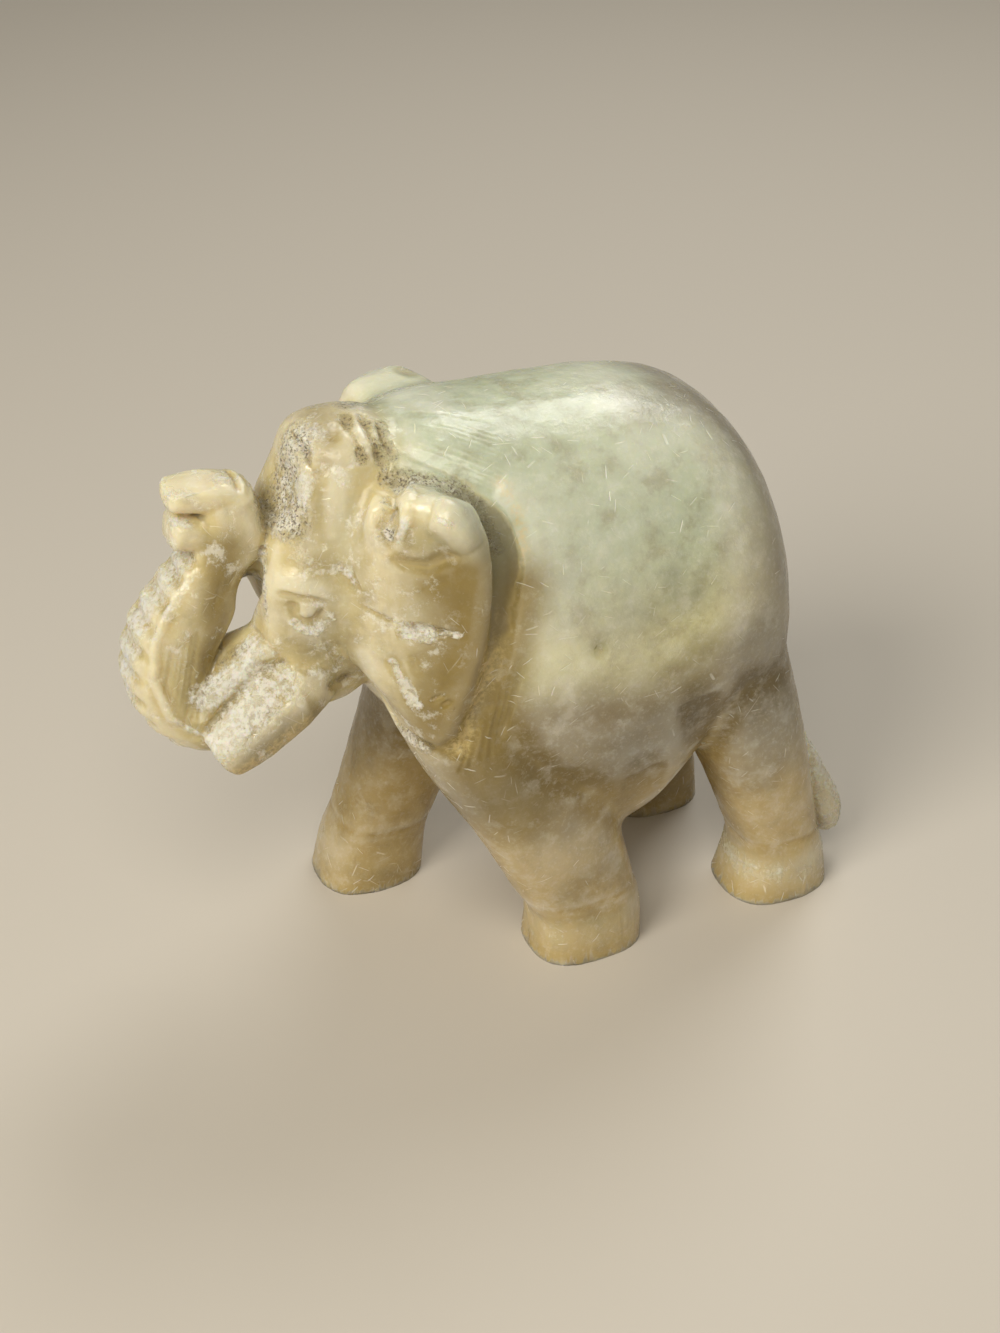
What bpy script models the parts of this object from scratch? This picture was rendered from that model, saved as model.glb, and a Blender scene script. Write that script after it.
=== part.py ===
"""A small walking elephant with a raised trunk, carved from one block of soapstone.

The figure faces -X and its left side is towards -Y, with the floor at z = 0. Every place and size is given
in squares of a layout grid, the way a carver squares up a block, so the whole figure follows its height.
"""

import math
from collections import namedtuple

import bmesh
import bpy
import numpy as np
from mathutils import Matrix, Vector

# The driving size, in metres, and the layout grid that squares up the block.
FIGURE_HEIGHT = 0.050
GRID_SQUARES = 108
SQUARE = FIGURE_HEIGHT / GRID_SQUARES

NODE_NAME = "carved_elephant"
STONE_COLOUR = (0.60, 0.56, 0.38, 1.0)
STONE_ROUGHNESS = 0.38

# How finely the masses are lofted, fused and smoothed, in grid squares, and how many triangles are kept.
BLANK_VOXEL = 1.0
BLANK_SMOOTHING = 14
FINE_VOXEL = 0.6
FINE_SMOOTHING = 3
KEPT_TRIANGLES = 9400
SMOOTHING_FACTOR = 0.5
RING_POINTS = 40
RING_SPACING = 0.8
LEAST_RINGS = 8
LEAST_OPENING = 0.08
TANGENT_STEP = 0.02

# A section of a mass: its centre, and its half sizes in the figure's side view and across it.
Section = namedtuple("Section", "x y z deep wide")
# A mass: its sections from one end to the other, how square they are (2 is an ellipse), the length of the
# rounded cap at each end, the direction that its sections face (its own path where there is none), and
# their turn about that direction in degrees.
Mass = namedtuple("Mass", "sections squareness start_cap end_cap facing turn", defaults=(None, 0))
LENGTHWISE = (1, 0, 0)
UPRIGHT = (0, 0, 1)

BODY_MASSES = {
    "torso": Mass(
        [
            Section(-58, 0, 80, 21, 14),
            Section(-50, 0, 76.5, 28.5, 19),
            Section(-42, 0, 70, 36, 24),
            Section(-32, 0, 63.5, 41.5, 27.5),
            Section(-20, 0, 61, 43.5, 28.5),
            Section(-8, 0, 61.5, 42, 28.5),
            Section(4, 0, 67.5, 32, 28),
            Section(12, 0, 64, 28, 25.5),
            Section(17, 0, 57, 22, 20),
        ],
        2.3,
        5,
        4,
        LENGTHWISE,
    ),
    "left_foreleg": Mass(
        [
            Section(-40, -11, 66, 18, 12),
            Section(-35.5, -14.5, 48, 15.8, 11.5),
            Section(-28.6, -17, 30, 12.8, 10),
            Section(-22.6, -17, 14, 11.2, 9),
            Section(-20.4, -17.2, 8, 10.4, 8.7),
            Section(-20.8, -17.4, -4, 11, 9.2),
        ],
        2.8,
        4,
        1,
        UPRIGHT,
    ),
    "right_foreleg": Mass(
        [
            Section(-34, 10, 62, 15, 11),
            Section(-38, 13, 42, 11.5, 10.5),
            Section(-43, 15, 26, 10, 9.5),
            Section(-47.5, 16, 13, 9.3, 9),
            Section(-49, 16.5, 8, 9.8, 9),
            Section(-51, 16.5, -4, 10.6, 9.6),
        ],
        2.6,
        4,
        1,
        UPRIGHT,
    ),
    "left_hindleg": Mass(
        [
            Section(4.5, -11, 62, 12, 14),
            Section(10.3, -14.5, 42, 10.8, 12),
            Section(15.2, -16, 26, 9.4, 10),
            Section(19, -16.3, 13, 8.4, 8.8),
            Section(20.2, -16.5, 8, 8.8, 9),
            Section(19.3, -16.5, -4, 11.5, 9.8),
        ],
        2.6,
        4,
        1,
        UPRIGHT,
    ),
    "right_hindleg": Mass(
        [
            Section(3, 11, 60, 12, 14),
            Section(6.5, 14, 42, 11, 12),
            Section(9, 15, 26, 9.6, 10),
            Section(9.5, 15.5, 13, 8.5, 8.8),
            Section(9.8, 16, 7, 9, 9),
            Section(9, 16, -4, 10.8, 9.8),
        ],
        2.6,
        4,
        1,
        UPRIGHT,
    ),
    "head": Mass(
        [
            Section(-64.5, 0, 57, 7, 8.5),
            Section(-64.5, 0, 64, 10, 11.5),
            Section(-63, 0, 72, 11.8, 13),
            Section(-61.5, 0, 82, 12.2, 13.5),
            Section(-59.4, 0, 91, 11.4, 12.5),
            Section(-57.8, 0, 99, 9.6, 10.5),
            Section(-57.5, 0, 107, 7.5, 7),
        ],
        2.9,
        4,
        4,
        UPRIGHT,
    ),
    "left_ear": Mass(
        [
            Section(-48.5, -21.5, 56, 3.6, 3),
            Section(-49.5, -20.5, 63, 8, 3.4),
            Section(-51, -19, 72, 12.5, 3.8),
            Section(-50.5, -18.6, 84, 12.8, 4),
            Section(-49.5, -18.5, 94, 10.5, 4.4),
            Section(-49.5, -18, 101.5, 7, 4.4),
        ],
        2.6,
        2,
        2.5,
        UPRIGHT,
        32,
    ),
    "right_ear": Mass(
        [
            Section(-45, 21, 60, 3, 2.4),
            Section(-45, 21, 66, 6.5, 3),
            Section(-45, 21, 74, 9.5, 3.2),
            Section(-43.5, 20, 86, 10.5, 3.6),
            Section(-43, 18, 96, 9.5, 4.6),
            Section(-43, 16.5, 103, 7, 4.6),
        ],
        2.6,
        2,
        2.5,
        UPRIGHT,
        -18,
    ),
}

DETAIL_MASSES = {
    "trunk": Mass(
        [
            Section(-66, 0, 67, 8, 9.5),
            Section(-75, 0, 61, 7.5, 9),
            Section(-83.5, 0, 59.5, 7, 8.8),
            Section(-88.3, 0, 65, 6.8, 8.2),
            Section(-87.4, 0, 72, 6.9, 7.4),
            Section(-83.4, 0, 78.3, 6.6, 6.5),
            Section(-78.2, 0, 85.5, 5.8, 5.5),
            Section(-75.8, 0, 92, 5.6, 5.4),
            Section(-76.3, 0, 98, 4.6, 5),
        ],
        3.2,
        2,
        2,
    ),
    "trunk_upper_lip": Mass(
        [Section(-73.5, 0, 96, 3.4, 4.8), Section(-79.5, 0, 98, 2.8, 4.6), Section(-86, 0, 98.7, 2.2, 3.7)],
        2.6,
        1.5,
        2,
    ),
    "trunk_lower_lip": Mass(
        [Section(-76, 0, 90.5, 3.4, 4.8), Section(-81.5, 0, 92, 3.3, 4.6), Section(-86, 0, 92.8, 2.9, 4)],
        2.4,
        1.5,
        2,
    ),
    "web_of_the_trunk": Mass(
        [Section(-84, -3, 62.5, 5.2, 5.6), Section(-71, -4.2, 70.5, 5.2, 7)], 2.2, 1, 1
    ),
    "left_tusk": Mass(
        [
            Section(-64, -8, 67, 5, 4.5),
            Section(-71, -10.5, 63.5, 5.6, 4.8),
            Section(-78, -11.5, 59, 5.2, 4.4),
            Section(-84, -11.5, 55.2, 4, 3.8),
        ],
        2.6,
        1,
        2,
    ),
    "right_tusk": Mass(
        [
            Section(-62, 8, 60, 4.8, 4.5),
            Section(-70, 10, 57, 4.8, 4.6),
            Section(-77, 11, 53.5, 4.6, 4.4),
            Section(-82, 11, 51, 4, 3.8),
        ],
        2.6,
        1,
        2,
    ),
    "tail": Mass(
        [
            Section(16.5, 0, 77, 2.4, 2.8),
            Section(18.6, -1, 62, 2.6, 3),
            Section(19.6, -4, 47, 2.8, 3.2),
            Section(23, -8, 32, 3, 3.4),
            Section(28, -12, 20, 3.4, 4.2),
            Section(31, -14, 12, 3.8, 5.2),
            Section(32, -14.5, 7, 2.4, 3.6),
        ],
        2.2,
        2,
        2,
    ),
}


# A stroke of the tool: the line it follows over the skin, its half width, how deep it cuts (what is below
# zero stands out instead), how sharp its section is (1 is a rounded trough, 3 a narrow groove), and whether
# it fades out at its ends.
Stroke = namedtuple("Stroke", "line width depth sharpness fades", defaults=(1, True))

STROKES = {
    "behind_the_ear": Stroke(
        [(-44, -18, 101), (-39.8, -21.5, 95), (-38.8, -24, 88), (-41, -25, 74), (-47, -23, 55)], 2.6, 3.4
    ),
    "edge_of_the_ear": Stroke(
        [(-46.5, -23, 97), (-43.5, -27, 88), (-45.5, -27, 74), (-49, -24.5, 60)], 2.4, -0.4
    ),
    "dip_of_the_nape": Stroke(
        [(-51.5, -11, 100.5), (-43.5, -18, 99.5), (-38.5, -21, 92), (-38, -23.5, 84)], 4.5, 1.4
    ),
    "rolled_rim": Stroke(
        [(-50.4, -22.4, 99.4), (-48.8, -24, 98.8), (-47.1, -25.6, 97), (-45.7, -27.2, 94)], 3.2, -2.4
    ),
    "under_the_rim": Stroke(
        [
            (-55.4, -19, 91.6),
            (-53.4, -20.6, 90.2),
            (-51.4, -22.4, 90.2),
            (-49.5, -23.8, 91.4),
            (-47.6, -26.4, 92.6),
        ],
        1.7,
        1.1,
        1.2,
    ),
    "hollow_of_the_ear": Stroke(
        [(-52.3, -12.6, 100), (-54.2, -15, 99.6), (-55.7, -17.4, 98.6), (-56.2, -18, 95)], 2.3, 4.4
    ),
    "rim_of_the_hollow": Stroke(
        [(-51.6, -17.2, 101), (-52.9, -19.8, 100.2), (-53.8, -21, 97.6), (-55.2, -20.2, 94.6)], 1.1, -0.7
    ),
    "temple": Stroke(
        [(-59.2, -9.4, 102.5), (-60.3, -11.2, 99.9), (-60.7, -12.6, 95), (-61.1, -12.4, 91.5)], 4.6, -0.35
    ),
    "behind_the_temple": Stroke(
        [(-56.3, -9, 101.7), (-57.2, -10.8, 98.7), (-58.5, -13.6, 95), (-59.3, -16, 89)], 2.0, 0.3
    ),
    "beside_the_dome": Stroke(
        [
            (-56, 0.4, 106.6),
            (-59.4, -5.2, 105.3),
            (-61.8, -7.4, 102.4),
            (-63.5, -9.4, 98), (-64.4, -11.2, 92.4)], 1.6, 0.45, 1.2,
    ),
    "hollow_of_the_forehead": Stroke(
        [(-65.4, -1.2, 101.1), (-67.2, -2.2, 96.8), (-67.6, -6.4, 93.6)], 4.6, 1.7
    ),
    "crease_of_the_forehead": Stroke(
        [(-64.5, -0.1, 104.9), (-64.1, -5.3, 104.3), (-63.2, -7.6, 101)], 0.9, 1.4, 1.3
    ),
    "first_mane_gouge": Stroke(
        [(-55.9, -1.2, 106.3), (-56.6, -4.6, 105), (-56.1, -8.2, 103.1)], 1.2, 1.7, 1.2
    ),
    "second_mane_gouge": Stroke(
        [(-53.4, -1.8, 106.2), (-53.8, -5.4, 104.6), (-52.9, -8.6, 102)], 1.2, 1.7, 1.2
    ),
    "third_mane_gouge": Stroke(
        [(-51.4, -3.4, 105.6), (-51.7, -6.1, 104.4), (-51.2, -8.6, 102.6)], 0.9, 1, 1.2
    ),
    "brow": Stroke(
        [(-72.3, -9.4, 85), (-69.3, -12.4, 85), (-65.7, -13.9, 84.2), (-63.1, -14.6, 81.6)], 2.8, -0.8
    ),
    "below_the_brow": Stroke(
        [(-72.2, -10, 83), (-70.1, -11, 82), (-68.1, -11.9, 81.9), (-65.4, -13.4, 82)], 0.9, 0.7, 1.2
    ),
    "eye_socket": Stroke([(-69.6, -11.4, 80.4), (-67.6, -12.2, 79.8), (-65.2, -13.2, 79.8)], 2.6, 0.8),
    "eye": Stroke([(-68.1, -12.2, 80.5), (-67.3, -12.6, 80.4)], 1.35, -1.1, 0.7),
    "under_the_eye": Stroke(
        [(-69.4, -11.7, 78.4), (-68.2, -12.2, 77.1), (-66.4, -12.8, 76.9), (-64.8, -13, 78.6)],
        0.8,
        0.5,
        1.2,
    ),
    "corner_of_the_face": Stroke([(-71.5, -8, 94), (-73.6, -9.5, 83), (-74.8, -10.2, 71)], 2.6, -0.7),
    "cheek": Stroke([(-71.3, -11.4, 75.1), (-69.2, -12.6, 72), (-66.7, -13.6, 69.6)], 3, 0.6),
    "behind_the_trunk": Stroke([(-74.5, 0, 82), (-74, 4, 75), (-71.5, 9, 68)], 5, 4.6, 1, False),
    "mouth": Stroke([(-65, -13.2, 65.7), (-62.8, -12.4, 63.6), (-60.4, -11.4, 61.5)], 1.2, 0.7, 1.2),
    "below_the_ear": Stroke(
        [(-61.8, -11.7, 64.9), (-57.6, -13, 59.5), (-54.3, -15.5, 56), (-51, -21, 55)], 1.8, 1.9, 1.2
    ),
    "wave_on_the_ear": Stroke(
        [(-57.7, -18.3, 87.6), (-55.1, -20.2, 88.2), (-52.1, -21.2, 88.6), (-49.3, -23.3, 91)], 1.0, -0.3
    ),
    "notch_in_the_ear": Stroke(
        [(-54, -21, 79.2), (-51.1, -23, 78.6), (-47.2, -25.2, 78)], 1.2, 1.4, 1.2
    ),
    "heel_of_the_notch": Stroke([(-54, -20.8, 78.2), (-51.6, -22.4, 78)], 1.5, 0.8),
    "gouge_in_the_ear": Stroke(
        [(-56.3, -19.8, 72.1), (-54.9, -20.3, 68.3), (-53.3, -21.4, 64.3)], 1.3, 1.3, 1.2
    ),
    "ridge_of_the_trunk": Stroke(
        [
            (-81, -4, 90.5),
            (-86, -4.6, 84),
            (-90.8, -6, 77),
            (-92, -7.3, 70.5),
            (-90, -8.3, 63),
            (-85, -9.5, 58),
        ],
        0.9,
        -0.6,
    ),
    "first_step_of_the_tip": Stroke([(-74.6, -4.5, 99.4), (-74.4, 3, 100)], 0.7, 0.7, 1.2),
    "second_step_of_the_tip": Stroke([(-71.8, -4.5, 96.4), (-71.6, 3, 97.4)], 0.7, 0.7, 1.2),
    "between_trunk_and_tusk": Stroke(
        [(-85, -9.2, 59.8), (-82, -9.1, 63), (-79, -9.6, 66.2), (-75.8, -10, 69.2)], 1.1, 0.7, 1.2
    ),
    "between_tusk_and_cheek": Stroke(
        [(-74.4, -10.2, 70.4), (-72, -12.2, 68.8), (-69.8, -14.2, 66.2), (-67.5, -15, 62.5)], 1.1, 0.35, 1.2
    ),
    "flank": Stroke([(-2, -27, 43), (-4.5, -28.3, 56)], 4.5, 0.7),
    "elbow": Stroke([(-10.5, -27, 30), (-14, -28.5, 42)], 4.5, 0.8),
}

# A flat place filed on the skin: the line that it lies along, its reach about that line, and a point of its
# plane with the way that it faces. All that stands past the plane is taken off.
Facet = namedtuple("Facet", "line reach middle facing")

FACETS = {
    "top_of_the_tip": Facet([(-86, 0, 99), (-76, 0, 99)], 7, (-80, 0, 100.2), (-0.06, -0.05, 1)),
    "face_of_the_tusk": Facet(
        [(-73, -11, 67), (-83, -12, 58)], 5.5, (-78, -12.8, 64), (-0.36, -0.68, 0.62)
    ),
    "end_of_the_tusk": Facet(
        [(-86, -12, 54), (-87, -11.5, 54)], 4.5, (-87, -11.5, 54.4), (-0.85, -0.2, -0.45)
    ),
}
FACET_FALLOFF = 4

# The strokes that are also drawn on the far side: as they stand on face and flank, and further back on
# the ear, because the right ear lies further back.
MIRRORED_STROKES = (
    "temple",
    "brow",
    "below_the_brow",
    "eye_socket",
    "eye",
    "under_the_eye",
    "corner_of_the_face",
    "cheek",
    "mouth",
    "flank",
)
EAR_STROKES = ("behind_the_ear", "edge_of_the_ear", "rolled_rim", "under_the_rim")
RIGHT_EAR_SHIFT = 5.5

# How far a stroke's edge reaches past its half width, and the share of its depth left at its ends.
STROKE_REACH = 1.5
FADE_LEFT = 0.1

# The notches cut across the front of the trunk: the line they follow, how many, and their reach either way.
TRUNK_FRONT = [(-83.5, 0, 88), (-88.5, 0, 83), (-93, 0, 76), (-95, 0, 68), (-93.5, 0, 60), (-88, 0, 54)]
TRUNK_NOTCHES = 10
TRUNK_NOTCH_REACH = 8
TRUNK_NOTCH_WIDTH = 1.4
TRUNK_NOTCH_DEPTH = 0.8

# The set-in line above each foot.
ANKLE_HEIGHT = 13.5
ANKLE_WIDTH = 1.1
ANKLE_DEPTH = 0.15
ANKLE_POINTS = 12
LEGS = ("left_foreleg", "right_foreleg", "left_hindleg", "right_hindleg")


def spline(values, place):
    """The value at place, from 0 to 1, along a smooth curve through the values."""
    values = np.asarray(values, float)
    last = len(values) - 1
    at = min(max(place, 0.0), 1.0) * last
    step = min(int(at), last - 1)
    t = at - step
    before, start, end, after = (values[min(max(step + k, 0), last)] for k in (-1, 0, 1, 2))
    return 0.5 * (
        2 * start
        + (end - before) * t
        + (2 * before - 5 * start + 4 * end - after) * t**2
        + (3 * start - before - 3 * end + after) * t**3
    )


def cap_factor(along, length, mass):
    """How far the section has opened at this distance along the mass, between its rounded ends."""
    factor = 1.0
    for distance, cap in ((along, mass.start_cap), (length - along, mass.end_cap)):
        if distance < cap:
            factor *= math.sqrt(max(1 - (1 - distance / cap) ** 2, 0.0))
    return factor


def superellipse(angle, squareness):
    """A point of the unit superellipse at this angle."""
    c, s = math.cos(angle), math.sin(angle)
    power = 2 / squareness
    return math.copysign(abs(c) ** power, c), math.copysign(abs(s) ** power, s)


def add_mass(bm, mass):
    """Loft one mass through its sections as a closed body."""
    table = np.array(mass.sections, float)
    turn = math.radians(mass.turn)
    length = float(np.linalg.norm(np.diff(table[:, :3], axis=0), axis=1).sum())
    rings = max(int(length / RING_SPACING), LEAST_RINGS)
    previous = None
    first = None
    for number in range(rings + 1):
        place = number / rings
        x, y, z, deep, wide = spline(table, place)
        ahead = spline(table, min(place + TANGENT_STEP, 1))[:3]
        behind = spline(table, max(place - TANGENT_STEP, 0))[:3]
        along = Vector(mass.facing or ahead - behind).normalized()
        across = Vector((0, 1, 0))
        across = (across - along * across.dot(along)).normalized()
        side = across.cross(along)
        across, side = (
            across * math.cos(turn) + side * math.sin(turn),
            side * math.cos(turn) - across * math.sin(turn),
        )
        opened = max(cap_factor(place * length, length, mass), LEAST_OPENING)
        ring = []
        for k in range(RING_POINTS):
            u, v = superellipse(2 * math.pi * k / RING_POINTS, mass.squareness)
            point = Vector((x, y, z)) + side * (u * deep * opened) + across * (v * wide * opened)
            ring.append(bm.verts.new(point))
        if previous:
            for k in range(RING_POINTS):
                nxt = (k + 1) % RING_POINTS
                bm.faces.new((previous[k], previous[nxt], ring[nxt], ring[k]))
        else:
            first = ring
        previous = ring
    bm.faces.new(list(reversed(first)))
    bm.faces.new(previous)


def new_object(name, bm, collection):
    """A linked object that holds this mesh, with its faces pointing out."""
    bmesh.ops.recalc_face_normals(bm, faces=bm.faces)
    mesh = bpy.data.meshes.new(name)
    bm.to_mesh(mesh)
    bm.free()
    obj = bpy.data.objects.new(name, mesh)
    collection.objects.link(obj)
    return obj


def settle(obj):
    """Replace the object's mesh with the shape that its modifiers give."""
    bpy.context.view_layer.update()
    graph = bpy.context.evaluated_depsgraph_get()
    mesh = bpy.data.meshes.new_from_object(obj.evaluated_get(graph))
    obj.modifiers.clear()
    old = obj.data
    obj.data = mesh
    bpy.data.meshes.remove(old)


def fuse(obj, voxel, smoothing):
    """Fuse the overlapping masses of the object into one skin and smooth it."""
    remesh = obj.modifiers.new("Fuse", "REMESH")
    remesh.mode = "VOXEL"
    remesh.voxel_size = voxel
    remesh.adaptivity = 0
    smooth = obj.modifiers.new("Soften", "SMOOTH")
    smooth.factor = SMOOTHING_FACTOR
    smooth.iterations = smoothing
    settle(obj)


def ankle_line(mass):
    """A ring of points round the leg where the foot is set off from it."""
    table = np.array(mass.sections, float)
    heights = table[:, 2][::-1]
    x, y, deep, wide = (np.interp(ANKLE_HEIGHT, heights, table[:, k][::-1]) for k in (0, 1, 3, 4))
    turns = [2 * math.pi * k / ANKLE_POINTS for k in range(ANKLE_POINTS + 1)]
    return [(x + deep * math.cos(t), y + wide * math.sin(t), ANKLE_HEIGHT) for t in turns]


def far_side(stroke, shift):
    """The same stroke on the right side of the figure, moved back by the shift."""
    return stroke._replace(line=[(x + shift, -y, z) for x, y, z in stroke.line])


def repeated_strokes():
    """The strokes that follow a rule: the far side's, the trunk's notches and the lines above the feet."""
    strokes = [far_side(STROKES[name], 0) for name in MIRRORED_STROKES]
    strokes += [far_side(STROKES[name], RIGHT_EAR_SHIFT) for name in EAR_STROKES]
    for number in range(TRUNK_NOTCHES):
        x, y, z = spline(TRUNK_FRONT, number / (TRUNK_NOTCHES - 1))
        line = [(x, y - TRUNK_NOTCH_REACH, z), (x, y + TRUNK_NOTCH_REACH, z)]
        strokes.append(Stroke(line, TRUNK_NOTCH_WIDTH, TRUNK_NOTCH_DEPTH))
    for leg in LEGS:
        strokes.append(Stroke(ankle_line(BODY_MASSES[leg]), ANKLE_WIDTH, ANKLE_DEPTH, 1, False))
    return strokes


def measure_to_line(points, line):
    """The distance of each point from the line, and how far along it the nearest place is, from 0 to 1."""
    line = np.asarray(line, float)
    if len(line) == 1:
        return np.linalg.norm(points - line[0], axis=1), np.full(len(points), 0.5)
    nearest = np.full(len(points), np.inf)
    place = np.zeros(len(points))
    for number, (start, end) in enumerate(zip(line[:-1], line[1:])):
        along = end - start
        share = np.clip((points - start) @ along / (along @ along), 0, 1)
        distance = np.linalg.norm(points - start - share[:, None] * along, axis=1)
        closer = distance < nearest
        nearest = np.where(closer, distance, nearest)
        place = np.where(closer, (number + share) / (len(line) - 1), place)
    return nearest, place


def strength_of(points, line, width, sharpness=1, fades=False):
    """How strongly a stroke of this line and half width works on each point, from 0 to 1."""
    distance, place = measure_to_line(points, line)
    reach = np.clip(1 - distance / (STROKE_REACH * width), 0, 1)
    strength = (reach * reach * (3 - 2 * reach)) ** sharpness
    if fades:
        strength *= np.sqrt(np.minimum(4 * place * (1 - place) + FADE_LEFT, 1))
    return strength


def carve(obj, strokes):
    """Draw each stroke over the skin, pushing it in or out along its own normals, then file it flat."""
    mesh = obj.data
    points = np.empty(len(mesh.vertices) * 3)
    mesh.vertices.foreach_get("co", points)
    points = points.reshape(-1, 3)
    normals = np.empty(len(mesh.vertices) * 3)
    for stroke in strokes:
        mesh.vertex_normals.foreach_get("vector", normals)
        strength = strength_of(points, stroke.line, stroke.width, stroke.sharpness, stroke.fades)
        points -= normals.reshape(-1, 3) * (strength * stroke.depth)[:, None]
        mesh.vertices.foreach_set("co", points.ravel())
        mesh.update()
    for facet in FACETS.values():
        facing = np.array(facet.facing) / np.linalg.norm(facet.facing)
        near = np.minimum(strength_of(points, facet.line, facet.reach / STROKE_REACH) * FACET_FALLOFF, 1)
        past = np.maximum((points - np.array(facet.middle)) @ facing, 0)
        points -= facing * (past * near)[:, None]
    mesh.vertices.foreach_set("co", points.ravel())
    mesh.update()


def stand_on_floor(obj):
    """Cut the feet off level at the floor and close their soles."""
    bm = bmesh.new()
    bm.from_mesh(obj.data)
    everything = bm.verts[:] + bm.edges[:] + bm.faces[:]
    bmesh.ops.bisect_plane(bm, geom=everything, plane_co=(0, 0, 0), plane_no=(0, 0, 1), clear_inner=True)
    rims = [edge for edge in bm.edges if edge.is_boundary]
    bmesh.ops.edgeloop_fill(bm, edges=rims)
    bmesh.ops.recalc_face_normals(bm, faces=bm.faces)
    bm.to_mesh(obj.data)
    bm.free()


def to_real_size(obj):
    """Turn grid squares into metres, with the origin under the middle of the figure on the floor."""
    corners = np.array([corner[:] for corner in obj.bound_box])
    middle = (corners.min(0) + corners.max(0)) / 2
    place = Matrix.Scale(SQUARE, 4) @ Matrix.Translation((-middle[0], -middle[1], 0))
    obj.data.transform(place)
    obj.data.update()


def sculpt(collection, fine_voxel=FINE_VOXEL, fine_smoothing=FINE_SMOOTHING):
    """The whole carving in grid squares, as one skin."""
    bm = bmesh.new()
    for mass in BODY_MASSES.values():
        add_mass(bm, mass)
    blank = new_object(NODE_NAME, bm, collection)
    fuse(blank, BLANK_VOXEL, BLANK_SMOOTHING)
    bm = bmesh.new()
    bm.from_mesh(blank.data)
    for mass in DETAIL_MASSES.values():
        add_mass(bm, mass)
    bm.to_mesh(blank.data)
    bm.free()
    fuse(blank, fine_voxel, fine_smoothing)
    carve(blank, list(STROKES.values()) + repeated_strokes())
    return blank


def stone_material():
    """Pale green-cream soapstone."""
    material = bpy.data.materials.new("soapstone")
    material.use_nodes = True
    shader = material.node_tree.nodes["Principled BSDF"]
    shader.inputs["Base Color"].default_value = STONE_COLOUR
    shader.inputs["Roughness"].default_value = STONE_ROUGHNESS
    shader.inputs["Metallic"].default_value = 0.0
    return material


def main():
    """Carve the elephant and bring it to size."""
    for obj in list(bpy.data.objects):
        bpy.data.objects.remove(obj)
    collection = bpy.data.collections.new("soapstone_elephant")
    bpy.context.scene.collection.children.link(collection)
    elephant = sculpt(collection)
    total = sum(len(face.vertices) - 2 for face in elephant.data.polygons)
    decimate = elephant.modifiers.new("Facets", "DECIMATE")
    decimate.ratio = KEPT_TRIANGLES / total
    settle(elephant)
    stand_on_floor(elephant)
    to_real_size(elephant)
    elephant.data.materials.append(stone_material())


if __name__ == "__main__":
    main()
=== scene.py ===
"""A small soapstone elephant, carved from one block, as it stands on a pale floor.

The stone is worked the way a carver works it. Masses are roughed out on a squared-up block and fused into
one skin, strokes of the tool cut its carving, and coats lay polish, frosting and dirt over it. Places and
sizes on the stone are in squares of the layout grid. The figure faces -X and its left side is towards -Y.
"""

from __future__ import annotations

import logging
import math
from dataclasses import dataclass, field, replace
from enum import Enum
from typing import NamedTuple

import bpy
import numpy as np
from mathutils import Matrix, Vector


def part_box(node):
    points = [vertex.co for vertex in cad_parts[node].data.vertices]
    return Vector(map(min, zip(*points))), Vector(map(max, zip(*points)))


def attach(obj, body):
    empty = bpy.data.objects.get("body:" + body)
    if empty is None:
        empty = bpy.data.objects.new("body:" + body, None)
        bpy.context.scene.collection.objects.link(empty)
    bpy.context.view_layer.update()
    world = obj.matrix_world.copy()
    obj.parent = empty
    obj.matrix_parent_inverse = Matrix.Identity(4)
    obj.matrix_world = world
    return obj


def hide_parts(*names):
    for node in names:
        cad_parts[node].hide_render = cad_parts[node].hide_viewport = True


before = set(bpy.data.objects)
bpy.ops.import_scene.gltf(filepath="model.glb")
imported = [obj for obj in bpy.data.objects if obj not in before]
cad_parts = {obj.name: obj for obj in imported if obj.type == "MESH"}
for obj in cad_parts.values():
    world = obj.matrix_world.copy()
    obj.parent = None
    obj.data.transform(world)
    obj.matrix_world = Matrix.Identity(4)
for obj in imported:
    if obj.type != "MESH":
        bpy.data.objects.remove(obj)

LOG = logging.getLogger("soapstone_elephant")

NODE = "carved_elephant"
PIECE = "soapstone_elephant"

# How the masses are modelled and fused, in grid squares.
RING_POINTS = 48
RING_SPACING = 0.7
LEAST_RINGS = 12
LEAST_OPENING = 0.08
TANGENT_STEP = 0.02

# How far a stroke's edge reaches past its half width, and the share of its depth left at its ends.
STROKE_REACH = 1.5
FADE_LEFT = 0.1

# How steeply a facet's cut dies out towards the end of its reach.
FACET_FALLOFF = 4

Point = tuple[float, float, float]


class Facing(Enum):
    """What the sections of a mass face."""

    PATH = None
    LENGTHWISE = (1.0, 0.0, 0.0)
    UPRIGHT = (0.0, 0.0, 1.0)


class Coat(Enum):
    """What a touch lays over the stone. The value is the name of the attribute that holds it."""

    # Chalky frosting of the tool marks, with painted highlights beside the eye and on the ear rim, and
    # painted light on the tail.
    FROST_AND_PAINTED_LIGHT = "frost_and_painted_light"
    # Dirt in the hollows and gouges, and painted shade in the crease under the ear's rolled rim.
    DIRT_AND_SHADE = "dirt_and_shade"
    # A warm yellow, which on the belly and in the groove behind the ear is painted glow.
    WARM = "warm"
    # Grey clouds in the stone, which over the rump are partly painted shade.
    CLOUD_AND_SHADE = "cloud_and_shade"
    RASP = "rasp"
    # The translucent amber of the ears, and painted shade on the far legs.
    AMBER = "amber"
    # Milky white, which on the temple, brow, rolled rim and tail is painted highlight and painted light.
    MILK_AND_SHEEN = "milk_and_sheen"


def points_of(mesh: bpy.types.Mesh) -> np.ndarray:
    """The places of a mesh's vertices, one row each."""
    flat = np.empty(len(mesh.vertices) * 3)
    mesh.vertices.foreach_get("co", flat)
    return flat.reshape(-1, 3)


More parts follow.
